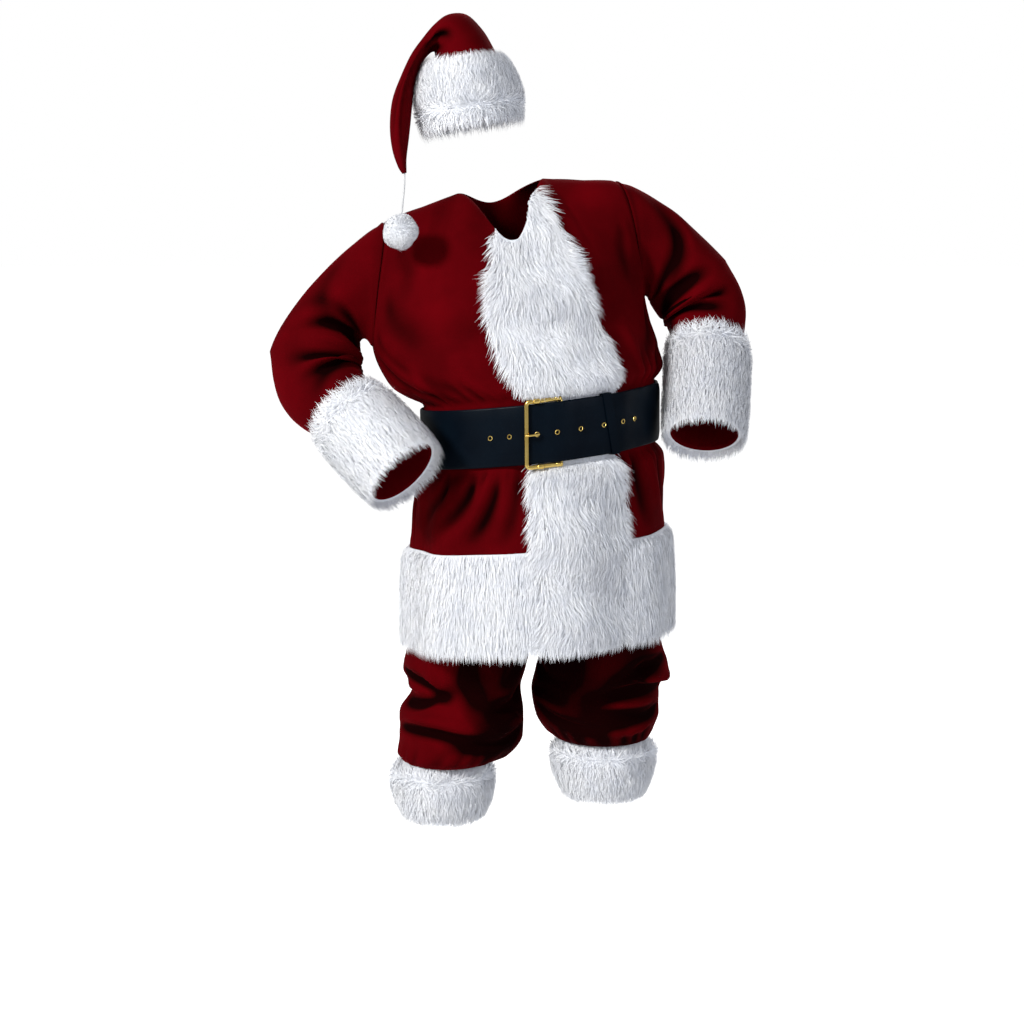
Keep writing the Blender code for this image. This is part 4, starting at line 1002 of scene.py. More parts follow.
def bulge(rows, first, last):
    """Pile depth over a band's rows: thin at its two bound edges, full between them."""
    share = np.linspace(0.0, 1.0, rows)
    depth = np.sin(np.pi * np.clip(share, 0.0, 1.0)) ** 0.35
    return np.maximum(depth, first + (last - first) * share)[:, None, None]


def pile(node, points, wraps, away_from, depth):
    """The dense short pile of a band as one closed layer on the cloth."""
    normals = outward(points, wraps, away_from)
    outer = points + normals * (SEAM + PLUSH * depth)
    thing = closed_shell(node + "_pile", outer, points + normals * SEAM, wraps, PILE)
    bed = points + normals * (SEAM + PLUSH * depth * ROOT_SHARE)
    return stands_for(thing, node), bed


def downhill(points):
    return unit(np.gradient(points, axis=0))


def band_share(points):
    return np.linspace(0.0, 1.0, points.shape[0])[:, None] + 0 * points[..., 0]

# %% Cuffs
CUFF_DENSITY = 300000.0


def make_cuff(node, rings, seed):
    points = rings[CUFF_RING::2]
    axis = axis_of(points)
    thing, bed = pile(node, points, True, axis, 1.45 * bulge(len(points), 0.25, 0.45))
    share = band_share(bed)
    comb = downhill(bed) * (1.6 * ramp(0.0, 0.22, share) - 0.5)[..., None]
    strands = grow(node + "_strands", bed, True, axis, comb, seed, CUFF_DENSITY, length=0.031,
                   fluff=1.0 - 0.15 * ramp(0.75, 1.0, share))
    return thing, strands


cuff_right, cuff_right_strands = make_cuff("cuff_fur_right", right_rings, 11)
cuff_left, cuff_left_strands = make_cuff("cuff_fur_left", left_rings, 12)

# %% [markdown]
# ## Hem band and front strip
# The widest band goes round the skirt and meets a strip that runs down the front from the neck. The
# strip hides the closing. Under the belt the fur is pressed flat; above the belt the hairs are short
# enough to tuck in, below it they spill out again.

# %% Hem fur
STRIP_RADIUS = 0.2195     # of the skirt beside the front strip
BAND_GAP = math.degrees(2 * SEAM / STRIP_RADIUS)
HEM_DENSITY = 360000.0


def hem_band():
    turns = np.linspace(PLACKET_LEFT + BAND_GAP, 360.0 + PLACKET_RIGHT - BAND_GAP, 190)
    levels = np.linspace(HEM_FUR_TOP - ARMPIT, HEM - 0.002 - ARMPIT, 22)
    turn, level = np.meshgrid(turns, levels)
    height = ARMPIT + level
    # the band's lower corner beside the strip swings up a little and leaves a notch
    corner = 360.0 + PLACKET_RIGHT
    notch = 0.016 * ramp(corner - 7.0, corner, turn) * ramp(-0.70, HEM, height)
    points = jacket_points(turn, level + notch)
    middle = spine(level)
    thing, bed = pile("hem_fur", points, False, middle, bulge(len(levels), 0.35, 0.6))
    share = band_share(bed)
    comb = downhill(bed) * 1.25
    sway = 0.10 * np.sin(np.radians(turn) * 9.0 + 1.0) + 0.07 * np.sin(np.radians(turn) * 21.0)
    comb = comb + unit(np.gradient(bed, axis=1)) * sway[..., None]
    fluff = 1.0 - 0.22 * ramp(0.80, 1.0, share)
    half = turns.size // 2
    pieces = []
    for number, (low, high) in enumerate(((0, half + 1), (half, turns.size))):
        pieces.append(grow(f"hem_fur_strands_{number + 1}", bed[:, low:high], False, middle[:, low:high],
                           comb[:, low:high], 21 + number, HEM_DENSITY, length=0.036, rise=0.0100,
                           fluff=fluff[:, low:high], stray=0.16, lock_scale=26.0, lock_pull=0.26))
    return thing, pieces


hem_fur, hem_strands = hem_band()

# %% Front strip
STRIP_DENSITY = 370000.0


def front_strip():
    turns = np.linspace(PLACKET_RIGHT, PLACKET_LEFT, 34)
    over_yoke = np.linspace(YOKE_RISE * 0.996, 0.0, 36)
    below_yoke = np.linspace(0.0, HEM - 0.004 - ARMPIT, 80)[1:]
    levels = np.concatenate([over_yoke, below_yoke])
    turn, level = np.meshgrid(turns, levels)
    height = ARMPIT + level
    points = jacket_points(turn, level)
    middle, clear = spine(level), off_belt(height)
    depth = 0.55 + 0.45 * ramp(0.0, 0.035, clear)
    side = np.clip(np.minimum(turn - PLACKET_RIGHT, PLACKET_LEFT - turn) / 5.0, 0.0, 1.0)
    depth = depth * (0.45 + 0.55 * side**0.5)
    thing, bed = pile("placket_fur", points, False, middle, depth[..., None])
    cover = ramp(-0.002, 0.004, clear)
    fluff = np.where(height > BELT_MIDDLE, 0.30 + 0.70 * ramp(0.004, 0.055, clear), 1.0)
    fluff = fluff * (1.0 - 0.35 * ramp(HEM + 0.03, HEM, height))
    stand = 0.35 + 0.65 * ramp(0.0, 0.045, clear)
    lean = np.where(turn > (PLACKET_LEFT + PLACKET_RIGHT) / 2, 1.0, -1.0) * (1.0 - side) * 0.75
    sideways = unit(np.gradient(points, axis=1))
    wander = 0.30 * np.sin(height * 41.0 + turn * 0.09) + 0.18 * np.sin(height * 83.0 - turn * 0.2)
    comb = downhill(bed) + sideways * (lean + wander)[..., None]
    strands = grow("placket_fur_strands", bed, False, middle, comb, 31, STRIP_DENSITY, length=0.037,
                   rise=0.0130, cover=cover, fluff=fluff, stand=stand, stray=0.26,
                   lock_scale=24.0, lock_pull=0.55)
    return thing, strands


placket_fur, placket_strands = front_strip()

# %% [markdown]
# ## Belt
# The belt is one long strap of coated leather, wound once round the waist with its tail lapped over
# and held by a loop. Its edges are rounded by a creaser. Eight brass eyelets run along the middle.

# %% Belt surface
BELT_THICKNESS = 0.0035
BELT_STAND_OFF = 0.0032
BELT_OVER_PLACKET = 0.0094
BELT_HALF_WIDTH = 0.2195
BELT_FRONT = 0.1855
BELT_BACK = 0.1345
TAIL_TIP_TURN = 73.0
HINGE_TURN = -0.5
PRONG_BAR_TURN = -15.5
BUCKLE_BAR = 0.0034


def belt_points(turn, height, out):
    """Points on the waist at a turn in degrees, moved out; height counts from the belt's middle."""
    turn, height, out = np.broadcast_arrays(np.asarray(turn, float), height, out)
    degrees = (turn + 180.0) % 360.0 - 180.0
    over_fur = ramp(PLACKET_RIGHT - 16.0, PLACKET_RIGHT - 2.0, degrees)
    over_fur = over_fur * ramp(PLACKET_LEFT + 16.0, PLACKET_LEFT + 2.0, degrees)
    clear = BELT_STAND_OFF + (BELT_OVER_PLACKET - BELT_STAND_OFF) * over_fur
    angle = np.radians(turn)
    depth = np.where(np.cos(angle) > 0, BELT_FRONT, BELT_BACK)
    slope = unit(np.stack([depth * np.sin(angle), -BELT_HALF_WIDTH * np.cos(angle), 0 * angle], -1))
    plain = np.stack([BELT_HALF_WIDTH * np.sin(angle), -depth * np.cos(angle), BELT_MIDDLE + height], -1)
    return posed(plain) + slope * (clear + out)[..., None]


def tail_lift(turn):
    """How far the lapped tail stands above the single strap."""
    lap = BELT_THICKNESS + 2 * SEAM
    over_hinge = 2 * BUCKLE_BAR + 4 * SEAM - lap
    near_hinge = ramp(HINGE_TURN - 9.0, HINGE_TURN - 2.0, turn)
    near_hinge = near_hinge * ramp(HINGE_TURN + 12.0, HINGE_TURN + 2.0, turn)
    return lap * ramp(PRONG_BAR_TURN - 16.0, PRONG_BAR_TURN + 6.0, turn) + over_hinge * near_hinge

# %% Strap
STRAP_STEPS = 300


def make_strap():
    turns = np.linspace(TAIL_TIP_TURN, HINGE_TURN - 360.0 + 1.6, STRAP_STEPS)
    lift = np.where(turns > -60.0, tail_lift(turns), 0.0)
    tip = ramp(TAIL_TIP_TURN, TAIL_TIP_TURN - 7.0, turns)
    half = BELT_WIDTH / 2 * (0.72 + 0.28 * np.sqrt(np.maximum(0.0, 1.0 - (1.0 - tip)**2)))
    # the section: outer face from low to high, then the inner face back, with softened corners
    shares = np.array([-1.0, -0.98, -0.94, -0.5, 0.0, 0.5, 0.94, 0.98, 1.0])
    depth = np.array([0.55, 0.86, 1.0, 0.97, 0.96, 0.97, 1.0, 0.86, 0.55])
    heights = np.concatenate([shares, shares[::-1]])
    hollow = np.array([0.30, 0.06, 0, 0, 0, 0, 0, 0.06, 0.30])
    outs = np.concatenate([depth, hollow]) * BELT_THICKNESS
    rings = belt_points(turns[:, None], half[:, None] * heights[None, :], lift[:, None] + outs[None, :])
    strap = tube("belt_strap_leather", rings, False, LEATHER)
    return stands_for(strap, "belt_strap")


make_strap()

# %% Bars of the buckle
BUCKLE_FACES = np.array([-0.15, -0.98, 0.05])


def swept(name, path, wide, thick, closed, sides=12):
    """A bar of oval section along a path; its wide side lies in the belt's face."""
    path = np.asarray(path)
    if closed:
        along = unit(np.roll(path, -1, 0) - np.roll(path, 1, 0))
    else:
        along = unit(np.gradient(path, axis=0))
    across = unit(np.cross(along, BUCKLE_FACES))
    out = np.cross(across, along)
    angle = even_turns(sides)
    oval = np.sign(np.cos(angle)) * np.abs(np.cos(angle))**0.7 * wide
    proud = np.sin(angle) * thick
    rings = path[:, None] + across[:, None] * oval[None, :, None] + out[:, None] * proud[None, :, None]
    return tube(name, rings, closed, BRASS)


def rounded_loop(turn_a, turn_b, half, corner, out_of):
    """A rounded rectangle on the belt: up one bar, across the top, down the other, back."""
    swing = math.degrees(corner / BELT_HALF_WIDTH)
    quarter = np.linspace(0.0, np.pi / 2, 6)
    turns, heights = [], []
    for turn, inward, up, swapped in ((turn_a, 1, 1, False), (turn_b, -1, 1, True),
                                      (turn_b, -1, -1, False), (turn_a, 1, -1, True)):
        for angle in quarter:
            a, b = np.cos(angle), np.sin(angle)
            if swapped:
                a, b = b, a
            turns.append(turn + inward * swing * (1.0 - a))
            heights.append(up * (half - corner * (1.0 - b)))
    turns = np.array(turns)
    return belt_points(turns, np.array(heights), out_of(turns))

# %% Buckle
BUCKLE_HALF = BELT_WIDTH / 2 + BUCKLE_BAR + 0.0016
OVER = BELT_THICKNESS * 2 + 4 * SEAM + BUCKLE_BAR
UNDER = BUCKLE_BAR + SEAM


def bar_out(turn):
    share = (turn - HINGE_TURN) / (PRONG_BAR_TURN - HINGE_TURN)
    return UNDER + (OVER - UNDER) * ramp(0.15, 0.80, share)


loop = rounded_loop(PRONG_BAR_TURN, HINGE_TURN, BUCKLE_HALF, 0.006, bar_out)
buckle = swept("buckle_frame_brass", loop, 0.0040, 0.0030, True)
stands_for(buckle, "belt_buckle_frame")

# %% Knobs of the buckle
KNOB_RADIUS = 0.0052
KNOB_PROFILE = np.array([0.15, 0.80, 1.0, 0.92, 0.92, 0.92, 1.0, 0.80, 0.15])
KNOB_HALF_LENGTH = 1.8    # in degrees round the belt
KNOB_PLACES = ((0.30, 1), (0.92, 1), (0.40, -1), (0.95, -1))   # share from bar to hinge; upper or lower


def buckle_knob(number, share, sign):
    turn = PRONG_BAR_TURN + (HINGE_TURN - PRONG_BAR_TURN) * share
    turns = turn + np.linspace(-KNOB_HALF_LENGTH, KNOB_HALF_LENGTH, len(KNOB_PROFILE))
    path = belt_points(turns, sign * BUCKLE_HALF, bar_out(turn))
    along = unit(np.gradient(path, axis=0))
    across = unit(np.cross(along, [0.0, 0.0, 1.0]))
    up = np.cross(across, along)
    ring = oval_points(even_turns(12), across[:, None], up[:, None])
    rings = path[:, None] + ring * (KNOB_PROFILE * KNOB_RADIUS)[:, None, None]
    return stands_for(tube(f"buckle_knob_{number}", rings, False, BRASS))


knobs = [buckle_knob(number, *place) for number, place in enumerate(KNOB_PLACES, start=1)]
print("buckle pieces:", 1 + len(knobs))

# %% Small CAD pieces kept as they are
for node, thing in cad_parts.items():
    if node.startswith("belt_eyelet") or node in ("belt_buckle_prong", "belt_keeper"):
        thing.data.materials.clear()
        thing.data.materials.append(LEATHER if node == "belt_keeper" else BRASS)

# %% [markdown]
# ## Trousers
# Each leg is cut full and gathered into a fur band below the knee. The cloth blouses over the band:
# it hangs out past it and folds back under, with a few crosswise swags where it lies on itself.

# %% Trouser tables
LegRow = namedtuple("LegRow", "height inner outer turn front back")
RIGHT_LEG = (
    LegRow(-0.400, 0.000, 0.165, 0, 0.120, 0.110),
    LegRow(-0.500, 0.000, 0.180, 0, 0.140, 0.118),
    LegRow(-0.620, 0.000, 0.198, 0, 0.150, 0.140),
    LegRow(-0.700, 0.000, 0.206, 0, 0.150, 0.145),
    LegRow(-0.745, 0.000, 0.212, -28, 0.145, 0.140),
    LegRow(-0.785, 0.001, 0.220, -62, 0.135, 0.130),
    LegRow(-0.810, 0.004, 0.226, -90, 0.126, 0.104),
    LegRow(-0.860, 0.010, 0.245, -90, 0.122, 0.106),
    LegRow(-0.900, 0.018, 0.253, -90, 0.121, 0.112),
    LegRow(-0.936, 0.027, 0.236, -90, 0.108, 0.104),
    LegRow(-0.983, 0.022, 0.260, -90, 0.120, 0.116),
    LegRow(-1.030, 0.024, 0.260, -90, 0.122, 0.116),
    LegRow(-1.062, 0.048, 0.263, -90, 0.112, 0.106),
    LegRow(-1.077, 0.080, 0.255, -90, 0.092, 0.088),
    LegRow(-1.082, 0.108, 0.246, -90, 0.070, 0.070),
    LegRow(-1.122, 0.112, 0.244, -90, 0.066, 0.066),
)
LEFT_LEG = (
    LegRow(-0.400, 0.000, 0.180, 0, 0.120, 0.110),
    LegRow(-0.500, 0.000, 0.192, 0, 0.140, 0.118),
    LegRow(-0.620, 0.000, 0.205, 0, 0.150, 0.140),
    LegRow(-0.700, 0.000, 0.212, 0, 0.150, 0.145),
    LegRow(-0.745, 0.000, 0.216, -28, 0.145, 0.140),
    LegRow(-0.785, 0.001, 0.222, -62, 0.135, 0.130),
    LegRow(-0.810, 0.004, 0.230, -90, 0.128, 0.122),
    LegRow(-0.860, 0.008, 0.246, -90, 0.122, 0.118),
    LegRow(-0.900, 0.002, 0.256, -90, 0.122, 0.118),
    LegRow(-0.940, -0.006, 0.238, -90, 0.114, 0.112),
    LegRow(-0.983, 0.000, 0.238, -90, 0.120, 0.116),
    LegRow(-1.012, 0.018, 0.228, -90, 0.108, 0.104),
    LegRow(-1.032, 0.042, 0.219, -90, 0.092, 0.088),
    LegRow(-1.038, 0.062, 0.202, -90, 0.070, 0.070),
    LegRow(-1.078, 0.066, 0.198, -90, 0.066, 0.066),
)
TROUSER_CENTRE = 0.080
LEG_FUR_X = {"right": -0.098, "left": 0.212}
LEG_FUR_TOP = {"right": -1.088, "left": -1.044}

# %% Folds of the legs
# across runs from the inner seam to the outer seam, up is the height
LEG_WIDTH = 0.36
RIGHT_FRONT_FOLDS = (
    Fold(0.350, -0.900, 0.215, -0.940, 0.012, 0.012, -0.0120),
    Fold(0.345, -0.955, 0.200, -0.925, -0.010, 0.012, -0.0085),
    Fold(0.350, -0.925, 0.240, -0.930, 0.000, 0.010, 0.0060),
    Fold(0.010, -0.930, 0.130, -0.965, 0.010, 0.013, -0.0080),
    Fold(0.010, -0.985, 0.120, -0.955, -0.006, 0.011, -0.0060),
    Fold(0.340, -1.010, 0.100, -1.038, 0.022, 0.012, -0.0105),
    Fold(0.300, -0.985, 0.140, -1.012, 0.016, 0.011, 0.0070),
    Fold(0.030, -1.005, 0.200, -1.028, 0.012, 0.011, -0.0080),
    Fold(0.260, -0.840, 0.245, -1.000, 0.016, 0.020, 0.0055),
    Fold(0.170, -0.830, 0.150, -0.960, -0.014, 0.020, -0.0060),
    Fold(0.060, -0.830, 0.095, -0.920, 0.010, 0.016, -0.0050),
)
LEFT_FRONT_FOLDS = (
    Fold(0.350, -0.870, 0.190, -0.905, 0.012, 0.011, -0.0110),
    Fold(0.350, -0.905, 0.210, -0.890, -0.012, 0.010, 0.0075),
    Fold(0.350, -0.930, 0.170, -0.935, 0.014, 0.011, -0.0115),
    Fold(0.345, -0.965, 0.190, -0.958, -0.010, 0.011, -0.0085),
    Fold(0.300, -0.948, 0.180, -0.950, 0.000, 0.009, 0.0060),
    Fold(0.270, -0.865, 0.250, -0.925, 0.010, 0.011, -0.0060),
    Fold(0.010, -0.880, 0.130, -0.905, 0.012, 0.014, -0.0075),
    Fold(0.015, -0.935, 0.120, -0.940, -0.008, 0.012, -0.0065),
    Fold(0.050, -0.960, 0.240, -0.990, 0.016, 0.011, -0.0085),
    Fold(0.300, -0.990, 0.140, -0.985, -0.012, 0.010, 0.0060),
    Fold(0.120, -0.830, 0.105, -0.890, -0.008, 0.016, -0.0050),
)
RIGHT_BACK_FOLDS = (
    Fold(0.020, -0.915, 0.200, -0.945, 0.016, 0.013, -0.0110),
    Fold(0.345, -0.890, 0.180, -0.925, 0.012, 0.013, -0.0100),
    Fold(0.060, -0.940, 0.230, -0.965, 0.010, 0.011, 0.0070),
    Fold(0.330, -0.970, 0.120, -1.000, 0.018, 0.013, -0.0090),
    Fold(0.040, -1.010, 0.240, -1.036, 0.016, 0.012, -0.0090),
    Fold(0.140, -0.780, 0.165, -0.880, 0.012, 0.018, -0.0060),
    Fold(0.260, -0.800, 0.245, -0.890, -0.008, 0.016, 0.0050),
)
LEFT_BACK_FOLDS = (
    Fold(0.015, -0.880, 0.190, -0.915, 0.014, 0.012, -0.0105),
    Fold(0.345, -0.860, 0.170, -0.895, 0.016, 0.013, -0.0110),
    Fold(0.300, -0.915, 0.110, -0.935, -0.010, 0.012, 0.0070),
    Fold(0.335, -0.945, 0.130, -0.962, 0.014, 0.012, -0.0095),
    Fold(0.030, -0.965, 0.220, -0.990, 0.014, 0.011, -0.0085),
    Fold(0.200, -0.790, 0.180, -0.870, -0.012, 0.018, -0.0060),
)

# %% The legs' surface
def leg_points(rows, side, face, share, height):
    """share runs from the seam nearest the centre line (0) round to the outer seam (1)."""
    inner = reading(rows, "inner", height) + SEAM / 2
    outer = reading(rows, "outer", height)
    depth = reading(rows, "front" if face < 0 else "back", height)
    first = np.radians(reading(rows, "turn", height))
    radius = (outer - inner) / (1.0 - np.sin(first))
    centre = inner - radius * np.sin(first)
    turn = first + (np.pi / 2 - first) * share
    x = TROUSER_CENTRE + side * (centre + radius * np.sin(turn))
    return np.stack([x, face * depth * np.cos(turn), height], -1)

# %% Legs
# Painted shade darkens each leg panel fully from the inner seam to the first of its two shade shares,
# and fades out by the second; both are shares of the panel's width.
LegPanel = namedtuple("LegPanel", "rows side face folds seed wrong_way right_way")
LEG_PANELS = {
    "trouser_front_right": LegPanel(RIGHT_LEG, -1.0, -1.0, RIGHT_FRONT_FOLDS, 1.0, 0.28, 0.52),
    "trouser_back_right": LegPanel(RIGHT_LEG, -1.0, 1.0, RIGHT_BACK_FOLDS, 2.0, 0.10, 0.40),
    "trouser_front_left": LegPanel(LEFT_LEG, 1.0, -1.0, LEFT_FRONT_FOLDS, 3.0, 0.66, 0.98),
    "trouser_back_left": LegPanel(LEFT_LEG, 1.0, 1.0, LEFT_BACK_FOLDS, 4.0, 0.35, 0.75),
}
SKIRT_COVERS = -0.80      # above this height the jacket hides the legs, and few rows are enough


def trouser_panel(node, panel):
    rows, side, face, seed = panel.rows, panel.side, panel.face, panel.seed
    top, tuck, bottom = rows[0].height, rows[-2].height, rows[-1].height
    heights = np.concatenate([np.linspace(top, SKIRT_COVERS, 10)[:-1],
                              np.linspace(SKIRT_COVERS, tuck, 72),
                              np.linspace(tuck, bottom, 7)[1:]])
    share, height = np.meshgrid(np.linspace(0.0012, 0.9988, 45), heights)
    points = leg_points(rows, side, face, share, height)
    middle = axis_of(points) - np.array([0.0, face * 0.06, 0.0])
    across = share * LEG_WIDTH
    free = ramp(tuck + 0.002, tuck + 0.022, height)
    gather = np.sin(across * 165 + 2.0 * np.sin(across * 37 + seed)) * 0.0022
    gather = gather * ramp(tuck + 0.060, tuck + 0.012, height)
    lift = 1.25 * relief(across, height, panel.folds) + 0.0015 * ripple(across, height, 0.055, seed)
    lift += gather
    edge = ramp(0.0, 0.035, share) * ramp(1.0, 0.965, share)
    lift = lift * free * (0.35 + 0.65 * edge)
    # painted shade: over part of each panel the velvet is darkened nearly to black, all but the tops of its
    # folds
    uneven = share + 0.10 * ripple(across, height, 0.080, seed + 2.0)
    painted_leg_shade = ramp(panel.right_way, panel.wrong_way, uneven)
    painted_shade_level = 1.5 * lift - 0.9 * CREASE_DEPTH * painted_leg_shade
    return velvet_piece(node, points, False, middle, lift, painted_shade_level)


trousers = {node: trouser_panel(node, panel) for node, panel in LEG_PANELS.items()}
print("trouser panels:", len(trousers))

# %% Leg bands
FurRow = namedtuple("FurRow", "height outer inner")
LEG_FUR_ROWS = (
    FurRow(0.000, 0.088, 0.076),
    FurRow(-0.014, 0.104, 0.074),
    FurRow(-0.050, 0.101, 0.073),
    FurRow(-0.086, 0.088, 0.072),
    FurRow(-0.096, 0.080, 0.072),
)
LEG_DENSITY = 300000.0


def leg_band(side_name, seed):
    node = "leg_fur_" + side_name
    ring, height = np.meshgrid(even_turns(64), np.linspace(0.0, -0.092, 24))
    inner = reading(LEG_FUR_ROWS, "inner", height)
    reach = reading(LEG_FUR_ROWS, "outer", height) - 0.010
    reach = reach + 0.0022 * np.sin(ring * 5 + seed) * np.sin(height * 60 + ring)
    reach = np.maximum(reach, inner + 0.003)

    def around(radius):
        return np.stack([LEG_FUR_X[side_name] + radius * np.cos(ring), radius * np.sin(ring),
                         LEG_FUR_TOP[side_name] + height], -1)

    bed = around(reach)
    thing = stands_for(closed_shell(node + "_pile", bed, around(inner), True, PILE), node)
    axis = axis_of(bed)
    share = band_share(bed)
    comb = downhill(bed) * (1.9 * ramp(0.02, 0.34, share) - 0.8)[..., None]
    strands = grow(node + "_strands", bed - (bed - axis) * 0.03, True, axis, comb, seed, LEG_DENSITY,
                   length=0.027, fluff=1.0 - 0.25 * ramp(0.8, 1.0, share), stray=0.36,
                   lock_scale=36.0, lock_pull=0.65)
    return thing, strands


leg_right, leg_right_strands = leg_band("right", 41)
leg_left, leg_left_strands = leg_band("left", 42)

# %% [markdown]
# ## Hat
# The cap is two long triangles sewn into a cone. Worn, it stands from the band, folds at its middle
# and the point falls beside the head; the fold pinches one deep valley beside the peak.

# %% Hat table
HatRow = namedtuple("HatRow", "left_x left_z right_x right_z y half_depth")
HAT_ROWS = (
    HatRow(-0.1160, 0.1240, 0.0440, 0.1460, -0.010, 0.0960),
    HatRow(-0.1200, 0.1540, 0.0400, 0.1760, -0.009, 0.0960),
    HatRow(-0.1185, 0.1900, 0.0295, 0.2100, -0.007, 0.0920),
    HatRow(-0.1120, 0.2260, 0.0130, 0.2430, -0.005, 0.0840),
    HatRow(-0.1080, 0.2440, 0.0000, 0.2680, -0.003, 0.0760),
    HatRow(-0.1065, 0.2540, -0.0180, 0.2970, -0.002, 0.0690),
    HatRow(-0.1075, 0.2585, -0.0470, 0.3250, -0.001, 0.0630),
    HatRow(-0.1100, 0.2590, -0.0800, 0.3260, 0.000, 0.0590),
    HatRow(-0.1150, 0.2565, -0.1060, 0.3070, -0.001, 0.0560),
    HatRow(-0.1240, 0.2470, -0.1300, 0.2780, -0.004, 0.0540),
    HatRow(-0.1360, 0.2280, -0.1500, 0.2500, -0.008, 0.0520),
    HatRow(-0.1500, 0.1970, -0.1680, 0.2110, -0.018, 0.0480),
    HatRow(-0.1550, 0.1600, -0.1830, 0.1680, -0.034, 0.0430),
    HatRow(-0.1580, 0.1180, -0.1870, 0.1210, -0.054, 0.0360),
    HatRow(-0.1570, 0.0800, -0.1820, 0.0790, -0.078, 0.0260),
    HatRow(-0.1550, 0.0520, -0.1710, 0.0480, -0.096, 0.0140),
    HatRow(-0.1540, 0.0360, -0.1620, 0.0340, -0.106, 0.0044),
)
HAT_COLUMNS = 72
HAT_STEPS = 5             # rings for each row of the table

# %% Folds of the hat
# across is the share of the way round: 0 the right end, 0.25 the front, 0.5 the left end, 0.75 the
# back; up counts table rows, both scaled to metres
HAT_ACROSS = 0.40
HAT_UP = 0.024
HAT_FOLDS = (
    Fold(0.150, 0.205, 0.105, 0.130, 0.006, 0.013, -0.0140),
    Fold(0.125, 0.200, 0.075, 0.135, 0.004, 0.008, 0.0060),
    Fold(0.175, 0.200, 0.150, 0.110, -0.004, 0.009, -0.0070),
    Fold(0.090, 0.225, 0.060, 0.330, 0.006, 0.010, -0.0040),
    Fold(0.130, 0.230, 0.140, 0.340, -0.006, 0.011, -0.0045),
    Fold(0.250, 0.205, 0.290, 0.120, 0.006, 0.011, -0.0090),
    Fold(0.320, 0.200, 0.345, 0.130, -0.004, 0.010, 0.0060),
    Fold(0.280, 0.230, 0.300, 0.340, 0.006, 0.012, -0.0050),
    Fold(0.345, 0.215, 0.330, 0.310, 0.005, 0.010, 0.0040),
)

# %% Rings of the hat
def hat_rings(first_row, last_row, steps):
    ends = [np.array([row.left_x, row.y, row.left_z]) for row in HAT_ROWS]
    others = [np.array([row.right_x, row.y, row.right_z]) for row in HAT_ROWS]
    depths = [np.array([row.half_depth, 0.0, 0.0]) for row in HAT_ROWS]
    angle = even_turns(HAT_COLUMNS)
    places = np.linspace(first_row, last_row, steps)
    rings = []
    for place in places:
        share = place / (len(HAT_ROWS) - 1)
        left, right = curve_point(ends, share), curve_point(others, share)
        front = np.array([0.0, -curve_point(depths, share)[0], 0.0])
        half = (right - left) / 2
        rings.append((left + right) / 2 + np.cos(angle)[:, None] * half + np.sin(angle)[:, None] * front)
    return np.array(rings), places, angle

# %% Crown
def make_crown():
    last = len(HAT_ROWS) - 1
    rings, places, angle = hat_rings(0.0, last, last * HAT_STEPS + 1)
    across, along = np.meshgrid(angle / (2 * np.pi) * HAT_ACROSS, places * HAT_UP)
    lift = relief(across, along, HAT_FOLDS) + 0.0012 * ripple(across, along, 0.045, 5.0)
    place = along / HAT_UP
    lift = lift * ramp(3.0, 4.2, place) * ramp(last - 0.2, last - 3.0, place)
    lift = smooth_rings(lift, 3)
    # the hanging point is fuller on the side that lies beside the fur band
    fuller = 0.009 * np.maximum(-np.cos(angle), 0.0) * ramp(9.0, 11.5, place) * ramp(15.0, 12.5, place)
    # the folds' height, without the fuller point, also sets their painted shade
    return velvet_piece("hat_crown", rings, True, axis_of(rings), lift + fuller, lift)


hat_crown = make_crown()

# %% Hat band
HAT_BAND_DENSITY = 360000.0
HAT_BAND_ROWS = 2.92      # how many rows of the hat's table the band covers


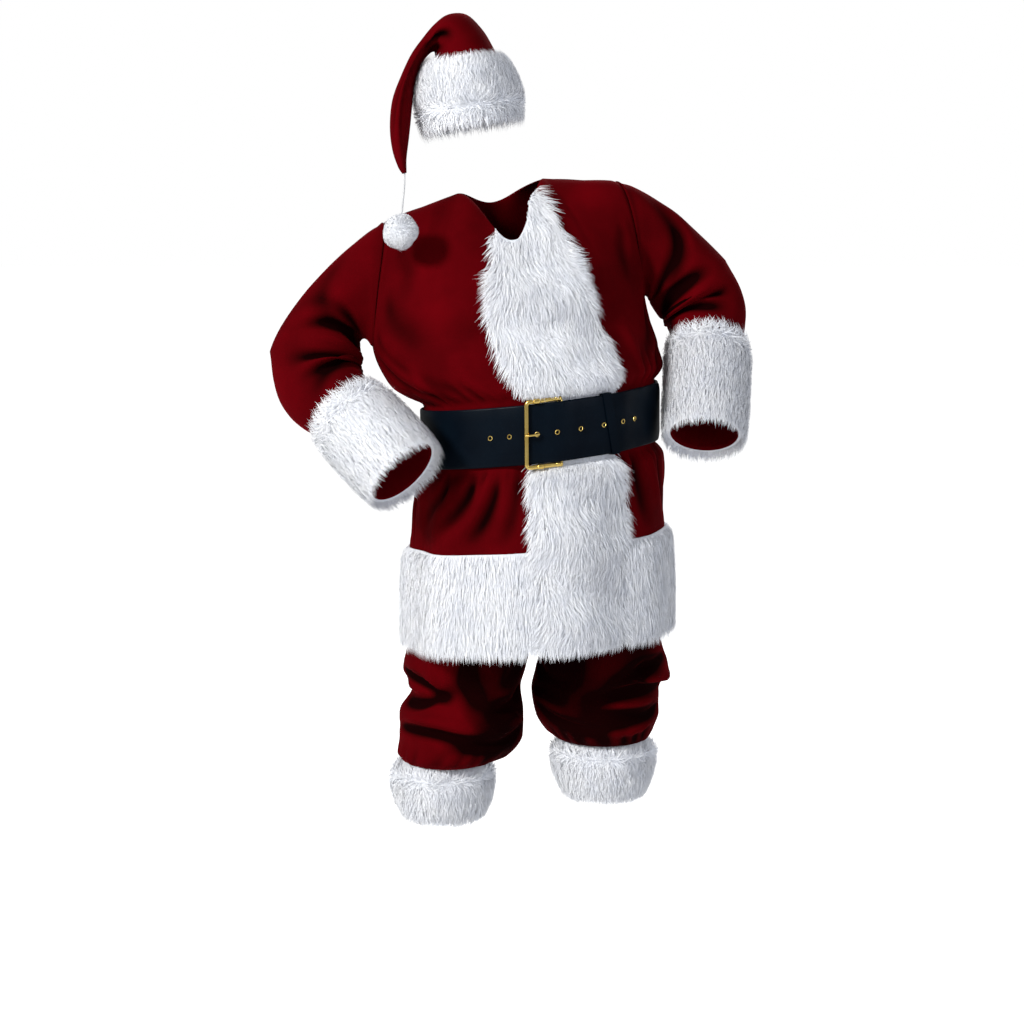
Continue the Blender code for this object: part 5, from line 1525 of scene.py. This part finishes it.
def make_hat_band():
    points, _, angle = hat_rings(0.0, HAT_BAND_ROWS, 22)
    axis = axis_of(points)
    depth = 1.35 * bulge(len(points), 0.45, 0.30)
    thing, bed = pile("hat_fur_band", points, True, axis, depth)
    share = band_share(bed)
    comb = downhill(bed) * (2.0 * ramp(0.05, 0.40, share) - 1.0)[..., None]
    beside_tail = np.maximum(-np.cos(angle), 0.0)**3
    fluff = (1.15 - 0.15 * ramp(0.2, 0.6, share)) * (1.0 + 0.35 * beside_tail)
    strands = grow("hat_fur_band_strands", bed, True, axis, comb, 51, HAT_BAND_DENSITY, length=0.022,
                   rise=0.0110, stand=1.0 + 0.5 * beside_tail, fluff=fluff, stray=0.38,
                   lock_scale=38.0, lock_pull=0.6)
    return thing, strands


hat_band, hat_band_strands = make_hat_band()

# %% Pompom
POMPOM_DENSITY = 800000.0


def make_pompom():
    polar, turn = np.meshgrid(np.linspace(0.04, np.pi - 0.04, 24), even_turns(36), indexing="ij")
    ball = np.stack([np.sin(polar) * np.cos(turn), np.sin(polar) * np.sin(turn), np.cos(polar)], -1)
    lumps = 1.0 + 0.035 * np.sin(3 * turn + 2 * polar) + 0.03 * np.sin(5 * polar + turn)
    points = np.array(POMPOM_CENTRE) + ball * (POMPOM_RADIUS * 0.86 * lumps)[..., None]
    core = stands_for(tube("hat_pompom_pile", points, False, PILE), "hat_pompom")
    comb = np.array([0.0, 0.0, -0.4])
    strands = grow("hat_pompom_strands", points, True, np.array(POMPOM_CENTRE), comb, 61, POMPOM_DENSITY,
                   length=0.0085, width=0.0009, rise=0.0042, stray=1.0, lock_scale=60.0, lock_pull=1.0)
    return core, strands


pompom, pompom_strands = make_pompom()

# %% [markdown]
# ## The cord and the cut sizes
# The cord is shown instead of its plain solid, and a record is laid out for the flat rectangle
# that a cloth piece is cut from; no piece is given one.

# %% The cord
stands_for(hat_cord, "hat_cord")

# Each piece lies flat in a rectangle of this width and length; a tube is measured all round.
SheetCut = namedtuple("SheetCut", "thing width length held rests_on pieces")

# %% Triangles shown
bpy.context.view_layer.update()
shown = [thing.data for thing in scene.objects if thing.type == "MESH" and not thing.hide_render]
print("triangles shown:", sum(len(p.vertices) - 2 for mesh in shown for p in mesh.polygons))
